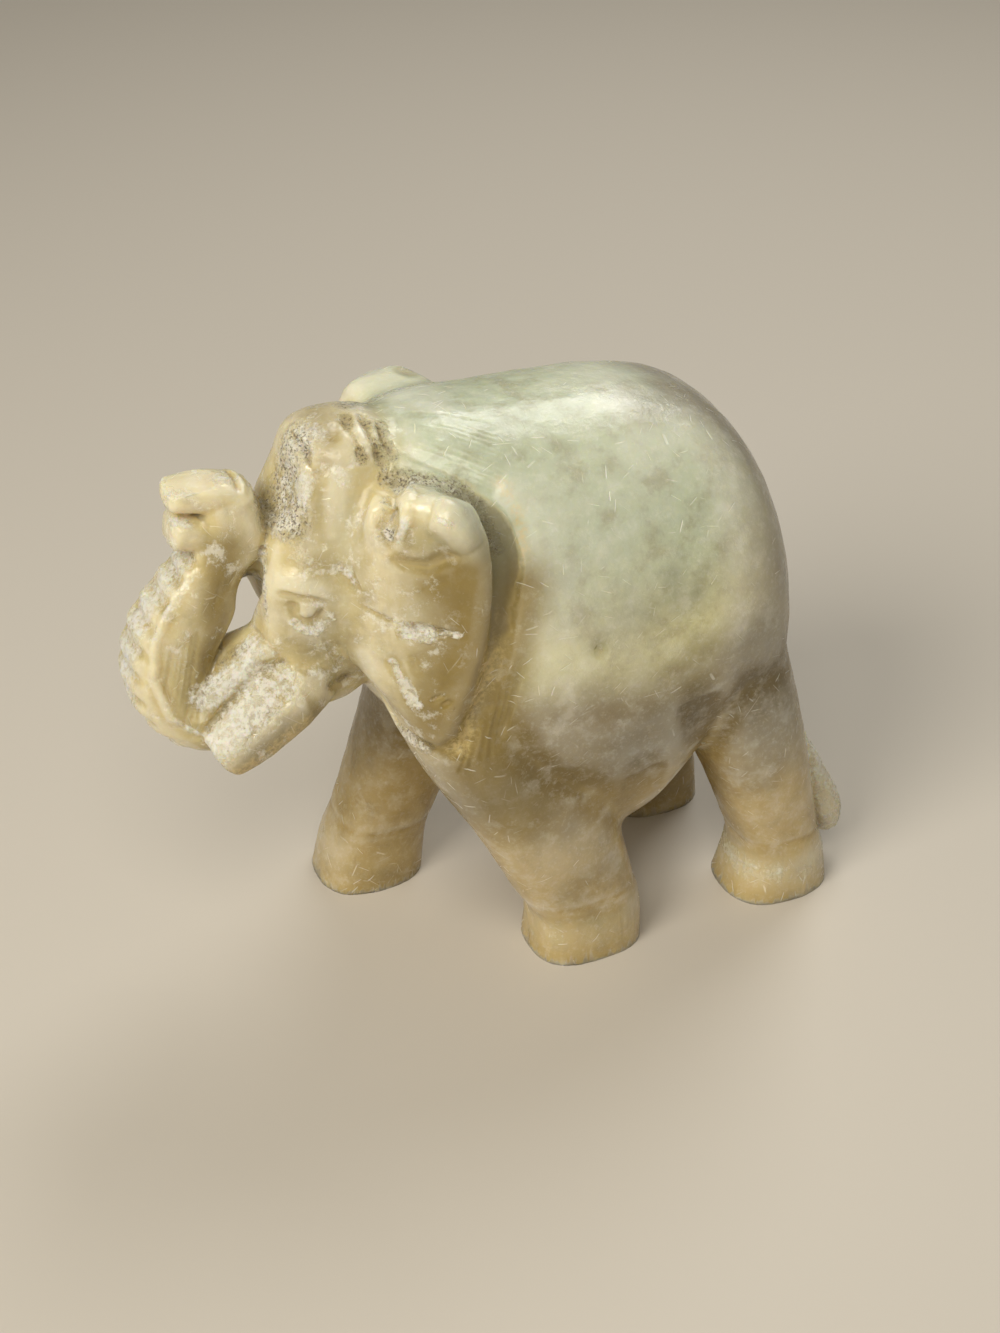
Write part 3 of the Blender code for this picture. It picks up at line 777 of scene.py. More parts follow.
@dataclass
class Ears(Region):
    """Both ears. The left one lies close on the shoulder, and the right one stands further back."""

    left: Mass = Mass(
        (
            Section(-48.5, -21.5, 56, 3.6, 3),
            Section(-49.5, -20.5, 63, 8, 3.4),
            Section(-51, -19, 72, 12.5, 3.8),
            Section(-50.5, -18.6, 84, 12.8, 4),
            Section(-49.5, -18.5, 94, 10.5, 4.4),
            Section(-49.5, -18, 101.5, 7, 4.4),
        ),
        2.6,
        2,
        2.5,
        Facing.UPRIGHT,
        32,
    )
    right: Mass = Mass(
        (
            Section(-45, 21, 60, 3, 2.4),
            Section(-45, 21, 66, 6.5, 3),
            Section(-45, 21, 74, 9.5, 3.2),
            Section(-43.5, 20, 86, 10.5, 3.6),
            Section(-43, 18, 96, 9.5, 4.6),
            Section(-43, 16.5, 103, 7, 4.6),
        ),
        2.6,
        2,
        2.5,
        Facing.UPRIGHT,
        -18,
    )
    right_shift: float = 5.5
    behind: Stroke = Stroke(
        [(-44, -18, 101), (-39.8, -21.5, 95), (-38.8, -24, 88), (-41, -25, 74), (-47, -23, 55)], 2.6, 3.4
    )
    edge: Stroke = Stroke([(-46.5, -23, 97), (-43.5, -27, 88), (-45.5, -27, 74), (-49, -24.5, 60)], 2.4, -0.4)
    nape: Stroke = Stroke(
        [(-51.5, -11, 100.5), (-43.5, -18, 99.5), (-38.5, -21, 92), (-38, -23.5, 84)], 4.5, 1.4
    )
    rolled_rim: Stroke = Stroke(
        [(-50.4, -22.4, 99.4), (-48.8, -24, 98.8), (-47.1, -25.6, 97), (-45.7, -27.2, 94)], 3.2, -2.4
    )
    under_the_rim: Stroke = Stroke(
        [
            (-55.4, -19, 91.6),
            (-53.4, -20.6, 90.2),
            (-51.4, -22.4, 90.2),
            (-49.5, -23.8, 91.4),
            (-47.6, -26.4, 92.6),
        ],
        1.7,
        0.8,
        1.2,
    )
    hollow: Stroke = Stroke(
        [(-52.3, -12.6, 100), (-54.2, -15, 99.6), (-55.7, -17.4, 98.6), (-56.2, -18, 95)], 2.3, 4.4, 1.0
    )
    rim_of_the_hollow: Stroke = Stroke(
        [(-51.6, -17.2, 101), (-52.9, -19.8, 100.2), (-53.8, -21, 97.6), (-55.2, -20.2, 94.6)], 1.1, -0.7
    )
    dimple: Stroke = Stroke([(-48.9, -22.8, 89.4), (-49.6, -23.2, 87.7), (-51, -23, 86.4)], 1.1, 0.25)
    notch: Stroke = Stroke([(-54, -21, 79.2), (-51.1, -23, 78.6), (-47.2, -25.2, 78)], 1.1, 0.85, 1.2)
    heel_of_the_notch: Stroke = Stroke([(-54, -20.8, 78.2), (-51.6, -22.4, 78)], 1.6, 0.5)
    gouge: Stroke = Stroke([(-56.3, -19.8, 72.1), (-54.7, -20.3, 68.3), (-53.3, -21.5, 64.3)], 1.3, 0.8, 1.2)
    second_gouge: Stroke = Stroke([(-53.7, -21.7, 73), (-53.2, -22.2, 70.6)], 0.8, 0.3)
    nicks: tuple[Stroke, ...] = (
        Stroke([(-60, -16.9, 81.6), (-58, -18.5, 80.5), (-55.3, -20.1, 79.7)], 0.6, 0.45),
        Stroke([(-48.2, -26.3, 93), (-46.9, -27.3, 92), (-44.8, -27.8, 89.8)], 0.5, 0.4),
        Stroke([(-51.4, -23.3, 65.4), (-49.5, -24.4, 66.8)], 0.5, 0.4),
        Stroke([(-50.1, -24.1, 64.2), (-48.8, -25.3, 65.8)], 0.5, 0.4),
    )
    below: Stroke = Stroke(
        [(-61.8, -11.7, 64.9), (-57.6, -13, 59.5), (-54.3, -15.5, 56), (-51, -21, 55)], 1.8, 1.9, 1.2
    )

    def blanks(self) -> list[Mass]:
        """Both ears."""
        return [self.left, self.right]

    def cuts(self) -> list[Stroke]:
        """The carving of the left ear, and what the right one shares with it."""
        shared = [self.behind, self.edge, self.rolled_rim, self.under_the_rim]
        left = [
            self.nape,
            self.hollow,
            self.rim_of_the_hollow,
            self.below,
            self.dimple,
            self.notch,
            self.heel_of_the_notch,
            self.gouge,
            self.second_gouge,
            *self.nicks,
        ]
        return shared + left + [stroke.on_far_side(self.right_shift) for stroke in shared]

    def touches(self) -> list[Touch]:
        """Dirt behind the ear and in its hollow, and the bare white of the chips, with painted shade under
        the rolled rim, painted glow in the groove behind the ear and painted highlights on the rim.
        """
        nicks = [touch(Coat.FROST_AND_PAINTED_LIGHT, nick.line, 0.45, 0.7) for nick in self.nicks]
        arc = [
            (-52.7, -10.6, 100.2),
            (-48.6, -13.6, 100),
            (-44, -15.5, 98.5),
            (-41, -17.5, 95.5),
            (-38.9, -20.5, 89.2),
        ]
        right_arc = [(x + self.right_shift, -y, z) for x, y, z in arc]
        return nicks + [
            touch(
                Coat.AMBER,
                [(-47.5, -25.5, 88), (-46.5, -26.5, 80), (-47.5, -26, 70), (-50, -24.5, 60)],
                11.0,
                0.95,
            ),
            # Painted highlight: the rolled rim is whitened for its glossy sheen.
            touch(Coat.MILK_AND_SHEEN, self.rolled_rim.line, 3.0, 0.6),
            touch(Coat.MILK_AND_SHEEN, [(-43, 18, 96), (-43, 17, 104)], 11.0, 0.8),
            touch(Coat.AMBER, [(-45, 21, 90), (-45, 22, 66)], 8.0, 1.0),
            # Painted glow: the groove behind the ear, in the ear's shadow, is yellowed for light passing
            # through the stone.
            touch(Coat.WARM, self.behind.line, 3.2, 0.8),
            touch(Coat.DIRT_AND_SHADE, arc, 2.2, 0.95),
            touch(Coat.FROST_AND_PAINTED_LIGHT, arc, 2.4, 0.5),
            touch(Coat.DIRT_AND_SHADE, [(-39.8, -21.5, 92), (-40, -25, 82)], 2.0, 0.6),
            touch(Coat.DIRT_AND_SHADE, self.hollow.line, 1.8, 1.0),
            touch(Coat.FROST_AND_PAINTED_LIGHT, self.hollow.line, 2.0, 0.9),
            touch(Coat.FROST_AND_PAINTED_LIGHT, self.rim_of_the_hollow.line, 1.1, 0.9),
            touch(Coat.WARM, self.under_the_rim.line, 2.0, 0.3),
            # Painted shade: the crease under the rolled rim is darkened as its shadow.
            touch(Coat.DIRT_AND_SHADE, self.under_the_rim.line[:3], 0.6, 0.3),
            touch(Coat.FROST_AND_PAINTED_LIGHT, [(-58, -18.2, 87), (-55, -20.3, 86.4), (-52.5, -21.8, 86)], 1.2, 0.55),
            touch(Coat.FROST_AND_PAINTED_LIGHT, [(-57, -18.8, 85), (-53.5, -21, 84.5)], 1.6, 0.5),
            touch(Coat.FROST_AND_PAINTED_LIGHT, self.notch.line, 0.7, 1.7),
            touch(Coat.FROST_AND_PAINTED_LIGHT, self.heel_of_the_notch.line, 1.9, 1.7),
            touch(Coat.FROST_AND_PAINTED_LIGHT, self.gouge.line[:2], 0.9, 1.2),
            touch(Coat.FROST_AND_PAINTED_LIGHT, self.gouge.line[1:], 1.5, 1.6),
            touch(Coat.FROST_AND_PAINTED_LIGHT, self.second_gouge.line, 0.7, 0.3),
            # Painted highlight: a white glint on the ear's rolled rim.
            touch(Coat.FROST_AND_PAINTED_LIGHT, [(-51.2, -24.4, 100.2), (-48.6, -25.9, 99)], 0.8, 0.8),
            touch(Coat.DIRT_AND_SHADE, self.below.line, 1.5, 0.9),
            touch(Coat.AMBER, self.behind.on_far_side(self.right_shift).line, 3.0, 0.6),
            touch(
                Coat.DIRT_AND_SHADE,
                [(-54.6, 2.8, 106.5), (-48.4, 8.6, 103.6), (-43, 9, 104.6), (-38, 10, 104)],
                2.2,
                0.8,
            ),
            touch(Coat.DIRT_AND_SHADE, right_arc, 2.2, 0.8),
            touch(Coat.RASP, [(-47, 16, 103), (-41, 17, 103)], 5.0, 0.9),
        ]


@dataclass
class Trunk(Region):
    """The trunk, curled up in front of the face, with its notched front and parted tip."""

    tube: Mass = Mass(
        (
            Section(-66, 0, 67, 8, 9.5),
            Section(-75, 0, 61, 7.5, 9),
            Section(-83.5, 0, 59.5, 7, 8.8),
            Section(-88.3, 0, 65, 6.8, 8.2),
            Section(-87.4, 0, 72, 6.9, 7.4),
            Section(-83.4, 0, 78.3, 6.6, 6.5),
            Section(-78.2, 0, 85.5, 5.8, 5.5),
            Section(-75.8, 0, 92, 5.6, 5.4),
            Section(-76.3, 0, 98, 4.6, 5),
        ),
        3.2,
        2,
        2,
    )
    upper_lip: Mass = Mass(
        (Section(-73.5, 0, 96, 3.4, 4.8), Section(-79.5, 0, 98, 2.8, 4.6), Section(-86, 0, 98.7, 2.2, 3.7)),
        2.6,
        1.5,
        2,
    )
    lower_lip: Mass = Mass(
        (Section(-76, 0, 90.5, 3.4, 4.8), Section(-81.5, 0, 92, 3.3, 4.6), Section(-86, 0, 92.8, 2.9, 4)),
        2.4,
        1.5,
        2,
    )
    web: Mass = Mass((Section(-86, -3.4, 61, 5.2, 5.6), Section(-71, -4.2, 70.5, 5.2, 7)), 2.2, 1, 1)
    ridge: Stroke = Stroke(
        [
            (-81, -4, 90.5),
            (-86, -4.6, 84),
            (-90.8, -6, 77),
            (-92, -7.3, 70.5),
            (-90, -8.3, 63),
            (-85, -9.5, 58),
        ],
        0.9,
        -0.6,
    )
    front: tuple[Point, ...] = (
        (-83.5, 0, 88),
        (-88.5, 0, 83),
        (-93, 0, 76),
        (-95, 0, 68),
        (-93.5, 0, 60),
        (-88, 0, 54),
    )
    notches: int = 10
    notch_reach: float = 8.0
    notch_width: float = 1.4
    notch_depth: float = 0.8
    steps_of_the_tip: tuple[Stroke, ...] = (
        Stroke([(-74.6, -4.5, 99.4), (-74.4, 3, 100)], 0.7, 0.7, 1.2),
        Stroke([(-71.8, -4.5, 96.4), (-71.6, 3, 97.4)], 0.7, 0.7, 1.2),
    )

    def forms(self) -> list[Mass]:
        """The trunk, its two lips and the web at its foot."""
        return [self.tube, self.upper_lip, self.lower_lip, self.web]

    def cuts(self) -> list[Stroke]:
        """The ridge down its side, the steps of its tip and the notches across its front."""
        cuts = [self.ridge, *self.steps_of_the_tip]
        for x, y, z in curve(np.array(self.front), np.linspace(0, 1, self.notches)):
            line = [(x, y - self.notch_reach, z), (x, y + self.notch_reach, z)]
            cuts.append(Stroke(line, self.notch_width, self.notch_depth))
        return cuts

    def facets(self) -> list[Facet]:
        """The flat top of the tip."""
        return [Facet([(-86, 0, 99), (-76, 0, 99)], 7, (-80, 0, 100.2), (-0.06, -0.05, 1))]

    def marks(self) -> list[Marks]:
        """The file marks down its side."""
        return [
            Marks(
                [(-84, -6.6, 77), (-86.5, -7, 76), (-88.5, -7, 75)],
                [(-87.6, -8.6, 64), (-89.4, -8.6, 66), (-90.6, -8.2, 68)],
                6,
                0.36,
                0.3,
            ),
            Marks([(-76.5, -6, 86), (-79, -5.5, 85)], [(-78.6, -6, 82), (-81, -6, 80)], 3, 0.35, 0.2),
            Marks(
                [(-84.8, -8.4, 66.4), (-86.6, -8.4, 65.6)], [(-86.4, -9, 61), (-88.4, -9, 61)], 3, 0.4, 0.3
            ),
        ]

    def touches(self) -> list[Touch]:
        """The frosted ridge, front and web, and the rasped side."""
        return [
            touch(Coat.FROST_AND_PAINTED_LIGHT, self.ridge.line[1:], 0.6, 1.0),
            touch(Coat.FROST_AND_PAINTED_LIGHT, list(self.front), 4.6, 0.95),
            touch(
                Coat.FROST_AND_PAINTED_LIGHT,
                [(-75, -7.4, 72), (-77.3, -8.6, 69.6), (-81.3, -8.4, 67), (-84.5, -8, 65.6)],
                3.0,
                1.1,
            ),
            touch(Coat.DIRT_AND_SHADE, [(-76.8, -6.5, 71.5), (-80, -6.5, 69.5)], 1.8, 0.7),
            touch(Coat.FROST_AND_PAINTED_LIGHT, [(-86, -1, 100), (-76, -1, 100)], 3.4, 0.7),
            touch(Coat.FROST_AND_PAINTED_LIGHT, [(-86, -1.5, 95), (-83.5, -3, 94.8)], 1.6, 0.8),
            touch(Coat.RASP, [(-84, -6.6, 77), (-88, -8, 66)], 5.0, 1.0),
            touch(Coat.AMBER, [(-85, -7, 66), (-81, -6, 76), (-78, -5, 90)], 4.5, 0.8),
        ]


@dataclass
class Tusks(Region):
    """The two short tusks, one on each side of the trunk's foot."""

    left: Mass = Mass(
        (
            Section(-64, -8, 67, 5, 4.5),
            Section(-71, -10.5, 63.5, 5.6, 4.8),
            Section(-78, -11.5, 59, 5.2, 4.4),
            Section(-84, -11.5, 55.2, 4, 3.8),
        ),
        2.4,
        4,
        2,
    )
    right: Mass = Mass(
        (
            Section(-62, 8, 60, 4.8, 4.5),
            Section(-70, 10, 57, 4.8, 4.6),
            Section(-77, 11, 53.5, 4.6, 4.4),
            Section(-82, 11, 51, 4, 3.8),
        ),
        2.4,
        4,
        2,
    )
    beside_the_trunk: Stroke = Stroke(
        [(-85, -9.2, 59.8), (-82, -9.1, 63), (-79, -9.6, 66.2), (-75.8, -10, 69.2)], 1.1, 0.7, 1.2
    )
    beside_the_cheek: Stroke = Stroke(
        [(-74.4, -10.2, 70.4), (-72, -12.2, 68.8), (-69.8, -14.2, 66.2), (-67.5, -15, 62.5)], 1.1, 0.35, 1.2
    )
    filed: Facet = Facet([(-73, -11, 67), (-83, -12, 58)], 5.5, (-78, -12.8, 64), (-0.36, -0.68, 0.62))
    blunted: Facet = Facet([(-86, -12, 54), (-87, -11.5, 54)], 4.5, (-87, -11.5, 54.4), (-0.85, -0.2, -0.45))

    def forms(self) -> list[Mass]:
        """Both tusks."""
        return [self.left, self.right]

    def cuts(self) -> list[Stroke]:
        """The creases that set the tusks off."""
        return [self.beside_the_trunk, self.beside_the_cheek]

    def facets(self) -> list[Facet]:
        """The filed face of the left tusk and its blunted tip."""
        return [self.filed, self.blunted]

    def touches(self) -> list[Touch]:
        """The frosted face of the left tusk, and its warm underside."""
        return [
            touch(Coat.AMBER, [(-68, -14, 62), (-76, -15, 58), (-83, -14, 53)], 3.6, 0.75),
            touch(Coat.FROST_AND_PAINTED_LIGHT, [(-73.4, -12, 67.6), (-78, -12.4, 64.2), (-85.5, -12.6, 57.5)], 4.0, 1.35),
            touch(Coat.WARM, [(-70, -15, 60), (-82, -15, 53)], 3.0, 0.9),
            touch(Coat.FROST_AND_PAINTED_LIGHT, [(-73.5, 12, 67.6), (-84, 12.8, 58.2)], 3.0, 0.7),
        ]


@dataclass
class Tail(Region):
    """The tail, hanging down beside the left hind leg, with its tuft."""

    cord: Mass = Mass(
        (
            Section(16.5, 0, 77, 2.4, 2.8),
            Section(18.6, -1, 62, 2.6, 3),
            Section(19.6, -4, 47, 2.8, 3.2),
            Section(23, -8, 32, 3, 3.4),
            Section(28, -12, 20, 3.4, 4.2),
            Section(31, -14, 12, 3.8, 5.2),
            Section(32, -14.5, 7, 2.4, 3.6),
        ),
        2.2,
        2,
        2,
    )

    def forms(self) -> list[Mass]:
        """The tail."""
        return [self.cord]

    def touches(self) -> list[Touch]:
        """The frosted tuft, brightened further with painted light."""
        tuft = [section[:3] for section in self.cord.sections[3:]]
        # Partly the tail's chalky frosting, partly painted light that brightens the tail.
        return [touch(Coat.FROST_AND_PAINTED_LIGHT, tuft, 6.5, 1.1), touch(Coat.MILK_AND_SHEEN, tuft, 8.0, 1.2)]


def hollows_of(mesh: bpy.types.Mesh, rounds: int) -> np.ndarray:
    """How far each point lies below the skin round it.

    Args:
        mesh: The mesh to measure.
        rounds: How many times the skin is evened out to compare it with.

    Returns:
        A depth for each vertex in the mesh's own units, below zero where it stands out.
    """
    points = points_of(mesh)
    edges = np.empty(len(mesh.edges) * 2, int)
    mesh.edges.foreach_get("vertices", edges)
    ends = np.concatenate((edges, edges.reshape(-1, 2)[:, ::-1].ravel()))
    here, there = ends[0::2], ends[1::2]
    share = 1 / np.maximum(np.bincount(here, minlength=len(points)), 1)
    even = points
    for _ in range(rounds):
        sums = [np.bincount(here, weights=even[there, axis], minlength=len(points)) for axis in range(3)]
        even = np.stack(sums, axis=1) * share[:, None]
    return ((even - points) * normals_of(mesh)).sum(axis=1)


@dataclass
class Carving:
    """The whole stone, made from its regions."""

    regions: list[Region]
    height: float = 0.050
    squares: int = 108
    blank_voxel: float = 1.0
    blank_smoothing: int = 14
    fine_voxel: float = 0.37
    fine_smoothing: int = 6
    kept_triangles: int = 192_000
    hollow_rounds: int = 24
    hollow_depth: float = 0.5
    chip_size: float = 1.4
    chip_depth: float = 1.0
    unevenness_size: float = 3.2
    unevenness_depth: float = 0.28
    weight_steps: int = 8

    def fuse(
        self, masses: list[Mass], base: bpy.types.Object | None, voxel: float, smoothing: int
    ) -> bpy.types.Object:
        """Join masses, with the body if there is one, and fuse them into one smooth skin.

        Args:
            masses: The masses to model and join.
            base: The body to join them to, if there is one.
            voxel: How finely they are fused, in squares.
            smoothing: How often the skin is smoothed.

        Returns:
            The fused body.
        """
        modelled = [mass.model(f"mass_{number}") for number, mass in enumerate(masses)]
        parts = ([base] if base else []) + modelled
        only(*parts)
        bpy.ops.object.join()
        body = parts[0]
        finish_with(body, "REMESH", mode="VOXEL", voxel_size=voxel, adaptivity=0)
        finish_with(body, "SMOOTH", factor=0.5, iterations=smoothing)
        return body

    def carve(self, body: bpy.types.Object) -> None:
        """Draw every stroke over the skin, along the skin's own normals."""
        mesh = body.data
        points = points_of(mesh)
        strokes = [stroke for region in self.regions for stroke in region.cuts()]
        for stroke in strokes:
            self.draw(mesh, points, stroke)
        for facet in [facet for region in self.regions for facet in region.facets()]:
            points = facet.cut(points)
            move_points(mesh, points)
        for marks in [marks for region in self.regions for marks in region.marks()]:
            for stroke in marks.strokes(body):
                self.draw(mesh, points, stroke)

    def draw(self, mesh: bpy.types.Mesh, points: np.ndarray, stroke: Stroke) -> None:
        """Draw one stroke over the skin, moving the points in place."""
        near = stroke.near(points)
        if len(near):
            normals = normals_of(mesh)[near]
            points[near] -= normals * (stroke.strength(points[near]) * stroke.depth)[:, None]
            move_points(mesh, points)

    def stand(self, body: bpy.types.Object) -> None:
        """Cut the feet off level at the floor and close their soles."""
        only(body)
        bpy.ops.object.mode_set(mode="EDIT")
        bpy.ops.mesh.select_all(action="SELECT")
        bpy.ops.mesh.bisect(plane_co=(0, 0, 0), plane_no=(0, 0, 1), use_fill=True, clear_inner=True)
        bpy.ops.mesh.select_all(action="SELECT")
        bpy.ops.mesh.normals_make_consistent(inside=False)
        bpy.ops.object.mode_set(mode="OBJECT")

    def dress(self, body: bpy.types.Object) -> None:
        """Lay the coats and the depth of the hollows on the skin as attributes."""
        mesh = body.data
        points = points_of(mesh)
        layers = {coat: np.zeros(len(points)) for coat in Coat}
        for region in self.regions:
            for laid in region.touches():
                near = laid.stroke.near(points)
                amount = laid.stroke.strength(points[near]) * laid.stroke.depth
                layers[laid.coat][near] = np.maximum(layers[laid.coat][near], amount)
        values = {coat.value: layer for coat, layer in layers.items()}
        values["hollow"] = np.clip(hollows_of(mesh, self.hollow_rounds) / self.hollow_depth, -1, 1)
        for name, layer in values.items():
            attribute = mesh.attributes.new(name, "FLOAT", "POINT")
            attribute.data.foreach_set("value", layer.astype(np.float32))

    def chip(self, body: bpy.types.Object) -> None:
        """Leave the frosted places rough, as the chisel left them."""
        layer = np.empty(len(body.data.vertices))
        body.data.attributes[Coat.FROST_AND_PAINTED_LIGHT.value].data.foreach_get("value", layer)
        group = body.vertex_groups.new(name="rough")
        steps = np.round(layer * self.weight_steps).astype(int)
        for step in range(1, self.weight_steps + 1):
            group.add(np.flatnonzero(steps == step).tolist(), step / self.weight_steps, "REPLACE")
        depths = (
            (self.unevenness_size, self.unevenness_depth, ""), (self.chip_size, self.chip_depth, group.name)
        )
        for size, depth, where in depths:
            noise = bpy.data.textures.new("chips", "CLOUDS")
            noise.noise_type = "HARD_NOISE" if where else "SOFT_NOISE"
            noise.noise_scale = size
            settings = {"texture": noise, "texture_coords": "LOCAL", "vertex_group": where}
            finish_with(body, "DISPLACE", strength=-depth, mid_level=0.4, **settings)
        body.vertex_groups.clear()

    def to_size(self, body: bpy.types.Object) -> None:
        """Turn squares into metres, with the origin under the middle of the figure on the floor."""
        low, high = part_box(NODE)
        points = points_of(body.data)
        middle = (points.min(0) + points.max(0)) / 2
        square = self.height / self.squares
        points = (points - (middle[0], middle[1], 0)) * square
        points += ((low.x + high.x) / 2, (low.y + high.y) / 2, low.z)
        move_points(body.data, points)

    def build(self) -> bpy.types.Object:
        """Rough out, detail, carve and dress the stone.

        Returns:
            The finished piece, at its real size and place.
        """
        blanks = [mass for region in self.regions for mass in region.blanks()]
        forms = [mass for region in self.regions for mass in region.forms()]
        body = self.fuse(blanks, None, self.blank_voxel, self.blank_smoothing)
        LOG.info("roughed out: %d vertices", len(body.data.vertices))
        body = self.fuse(forms, body, self.fine_voxel, self.fine_smoothing)
        LOG.info("detailed: %d vertices", len(body.data.vertices))
        self.carve(body)
        LOG.info("carved")
        triangles = sum(len(face.vertices) - 2 for face in body.data.polygons)
        finish_with(body, "DECIMATE", ratio=min(self.kept_triangles / triangles, 1))
        self.stand(body)
        self.dress(body)
        self.chip(body)
        self.to_size(body)
        body.name = body.data.name = PIECE
        only(body)
        bpy.ops.object.shade_smooth()
        LOG.info("finished: %d faces", len(body.data.polygons))
        return body


class Bench:
    """A node tree, with short calls to add its nodes and join them."""

    def __init__(self, tree: bpy.types.NodeTree) -> None:
        """Take the tree to work on."""
        self.tree = tree

    def add(self, kind: str, **settings: object) -> bpy.types.Node:
        """Add a node of this kind with these settings."""
        node = self.tree.nodes.new(kind)
        for name, value in settings.items():
            setattr(node, name, value)
        return node

    def feed(self, socket: bpy.types.NodeSocket, value: object) -> None:
        """Join an output to a socket, or set the socket to a plain value."""
        if isinstance(value, bpy.types.NodeSocket):
            self.tree.links.new(value, socket)
        else:
            socket.default_value = value

    def math(self, operation: str, *values: object, clamp: bool = False) -> bpy.types.NodeSocket:
        """Work one sum on outputs or plain numbers."""
        node = self.add("ShaderNodeMath", operation=operation, use_clamp=clamp)
        for socket, value in zip(node.inputs, values):
            self.feed(socket, value)
        return node.outputs[0]

    def times(self, *values: object) -> bpy.types.NodeSocket:
        """Multiply two outputs or plain numbers."""
        return self.math("MULTIPLY", *values)

    def plus(self, *values: object, clamp: bool = False) -> bpy.types.NodeSocket:
        """Add two outputs or plain numbers."""
        return self.math("ADD", *values, clamp=clamp)

    def vector(self, operation: str, *values: object) -> bpy.types.Node:
        """Work one vector sum on outputs or plain vectors."""
        node = self.add("ShaderNodeVectorMath", operation=operation)
        for socket, value in zip(node.inputs, values):
            self.feed(socket, value)
        return node

    def step(
        self, value: object, low: float, high: float, to_low: float = 0.0, to_high: float = 1.0
    ) -> bpy.types.NodeSocket:
        """Ease a value from one range into another."""
        node = self.add("ShaderNodeMapRange", interpolation_type="SMOOTHSTEP")
        for socket, number in zip(node.inputs, (value, low, high, to_low, to_high)):
            self.feed(socket, number)
        return node.outputs[0]

    def blend(self, share: object, under: object, over: object) -> bpy.types.NodeSocket:
        """Lay one colour over another by a share."""
        node = self.add("ShaderNodeMix", data_type="RGBA", clamp_factor=True)
        for number, value in ((0, share), (6, under), (7, over)):
            self.feed(node.inputs[number], value)
        return node.outputs[2]

    def noise(
        self, place: object, scale: float, detail: float = 4.0, roughness: float = 0.55
    ) -> bpy.types.NodeSocket:
        """Read smooth noise, from 0 to 1, at a place."""
        node = self.add("ShaderNodeTexNoise")
        self.feed(node.inputs["Vector"], place)
        for name, value in (("Scale", scale), ("Detail", detail), ("Roughness", roughness)):
            node.inputs[name].default_value = value
        return node.outputs["Fac"]

    def coat(self, name: str) -> bpy.types.NodeSocket:
        """Read one of the piece's own attributes."""
        return self.add("ShaderNodeAttribute", attribute_name=name).outputs["Fac"]


def new_group(
    name: str, inputs: dict[str, tuple[str, float | None]], output: str
) -> tuple[Bench, bpy.types.Node, bpy.types.Node]:
    """Start a node group with named sockets.

    Args:
        name: What to call the group.
        inputs: The kind of each named input, with its value where it has one.
        output: What to call its one output, a plain value.

    Returns:
        A bench on the group's tree, and its input and output nodes.
    """
    tree = bpy.data.node_groups.new(name, "ShaderNodeTree")
    for label, (kind, value) in inputs.items():
        socket = tree.interface.new_socket(label, in_out="INPUT", socket_type=kind)
        if value is not None:
            socket.default_value = value
    tree.interface.new_socket(output, in_out="OUTPUT", socket_type="NodeSocketFloat")
    bench = Bench(tree)
    return bench, bench.add("NodeGroupInput"), bench.add("NodeGroupOutput")


def scratch_group() -> bpy.types.NodeTree:
    """Short straight scratches at every angle, one in each cell of a grid of scattered points.

    Returns:
        The group, which puts out a mask that is 1 on a scratch.
    """
    inputs = {
        "Place": ("NodeSocketVector", None),
        "Scale": ("NodeSocketFloat", 300.0),
        "Width": ("NodeSocketFloat", 0.00003),
        "Length": ("NodeSocketFloat", 0.001),
        "Share": ("NodeSocketFloat", 0.5),
    }
    bench, given, out = new_group("Scattered scratches", inputs, "Scratch")
    cells = bench.add("ShaderNodeTexVoronoi", feature="F1")
    bench.feed(cells.inputs["Vector"], given.outputs["Place"])
    bench.feed(cells.inputs["Scale"], given.outputs["Scale"])
    local = bench.vector("SUBTRACT", given.outputs["Place"], cells.outputs["Position"]).outputs[0]
    lean = bench.vector("SUBTRACT", cells.outputs["Color"], (0.5, 0.5, 0.5)).outputs[0]
    lean = bench.vector("NORMALIZE", lean).outputs[0]
    off = bench.math("ABSOLUTE", bench.vector("DOT_PRODUCT", local, lean).outputs["Value"])
    across = bench.math("DIVIDE", off, given.outputs["Width"])
    line = bench.step(across, 1.0, 0.3)
    away = bench.math("DIVIDE", bench.vector("LENGTH", local).outputs["Value"], given.outputs["Length"])
    ends = bench.step(away, 1.0, 0.55)
    pick = bench.add("ShaderNodeTexWhiteNoise", noise_dimensions="3D")
    bench.feed(pick.inputs["Vector"], cells.outputs["Color"])
    kept = bench.math("LESS_THAN", pick.outputs["Value"], given.outputs["Share"])
    mask = bench.times(bench.times(line, ends), kept)
    bench.feed(out.inputs[0], mask)
    return bench.tree


Colour = tuple[float, float, float, float]


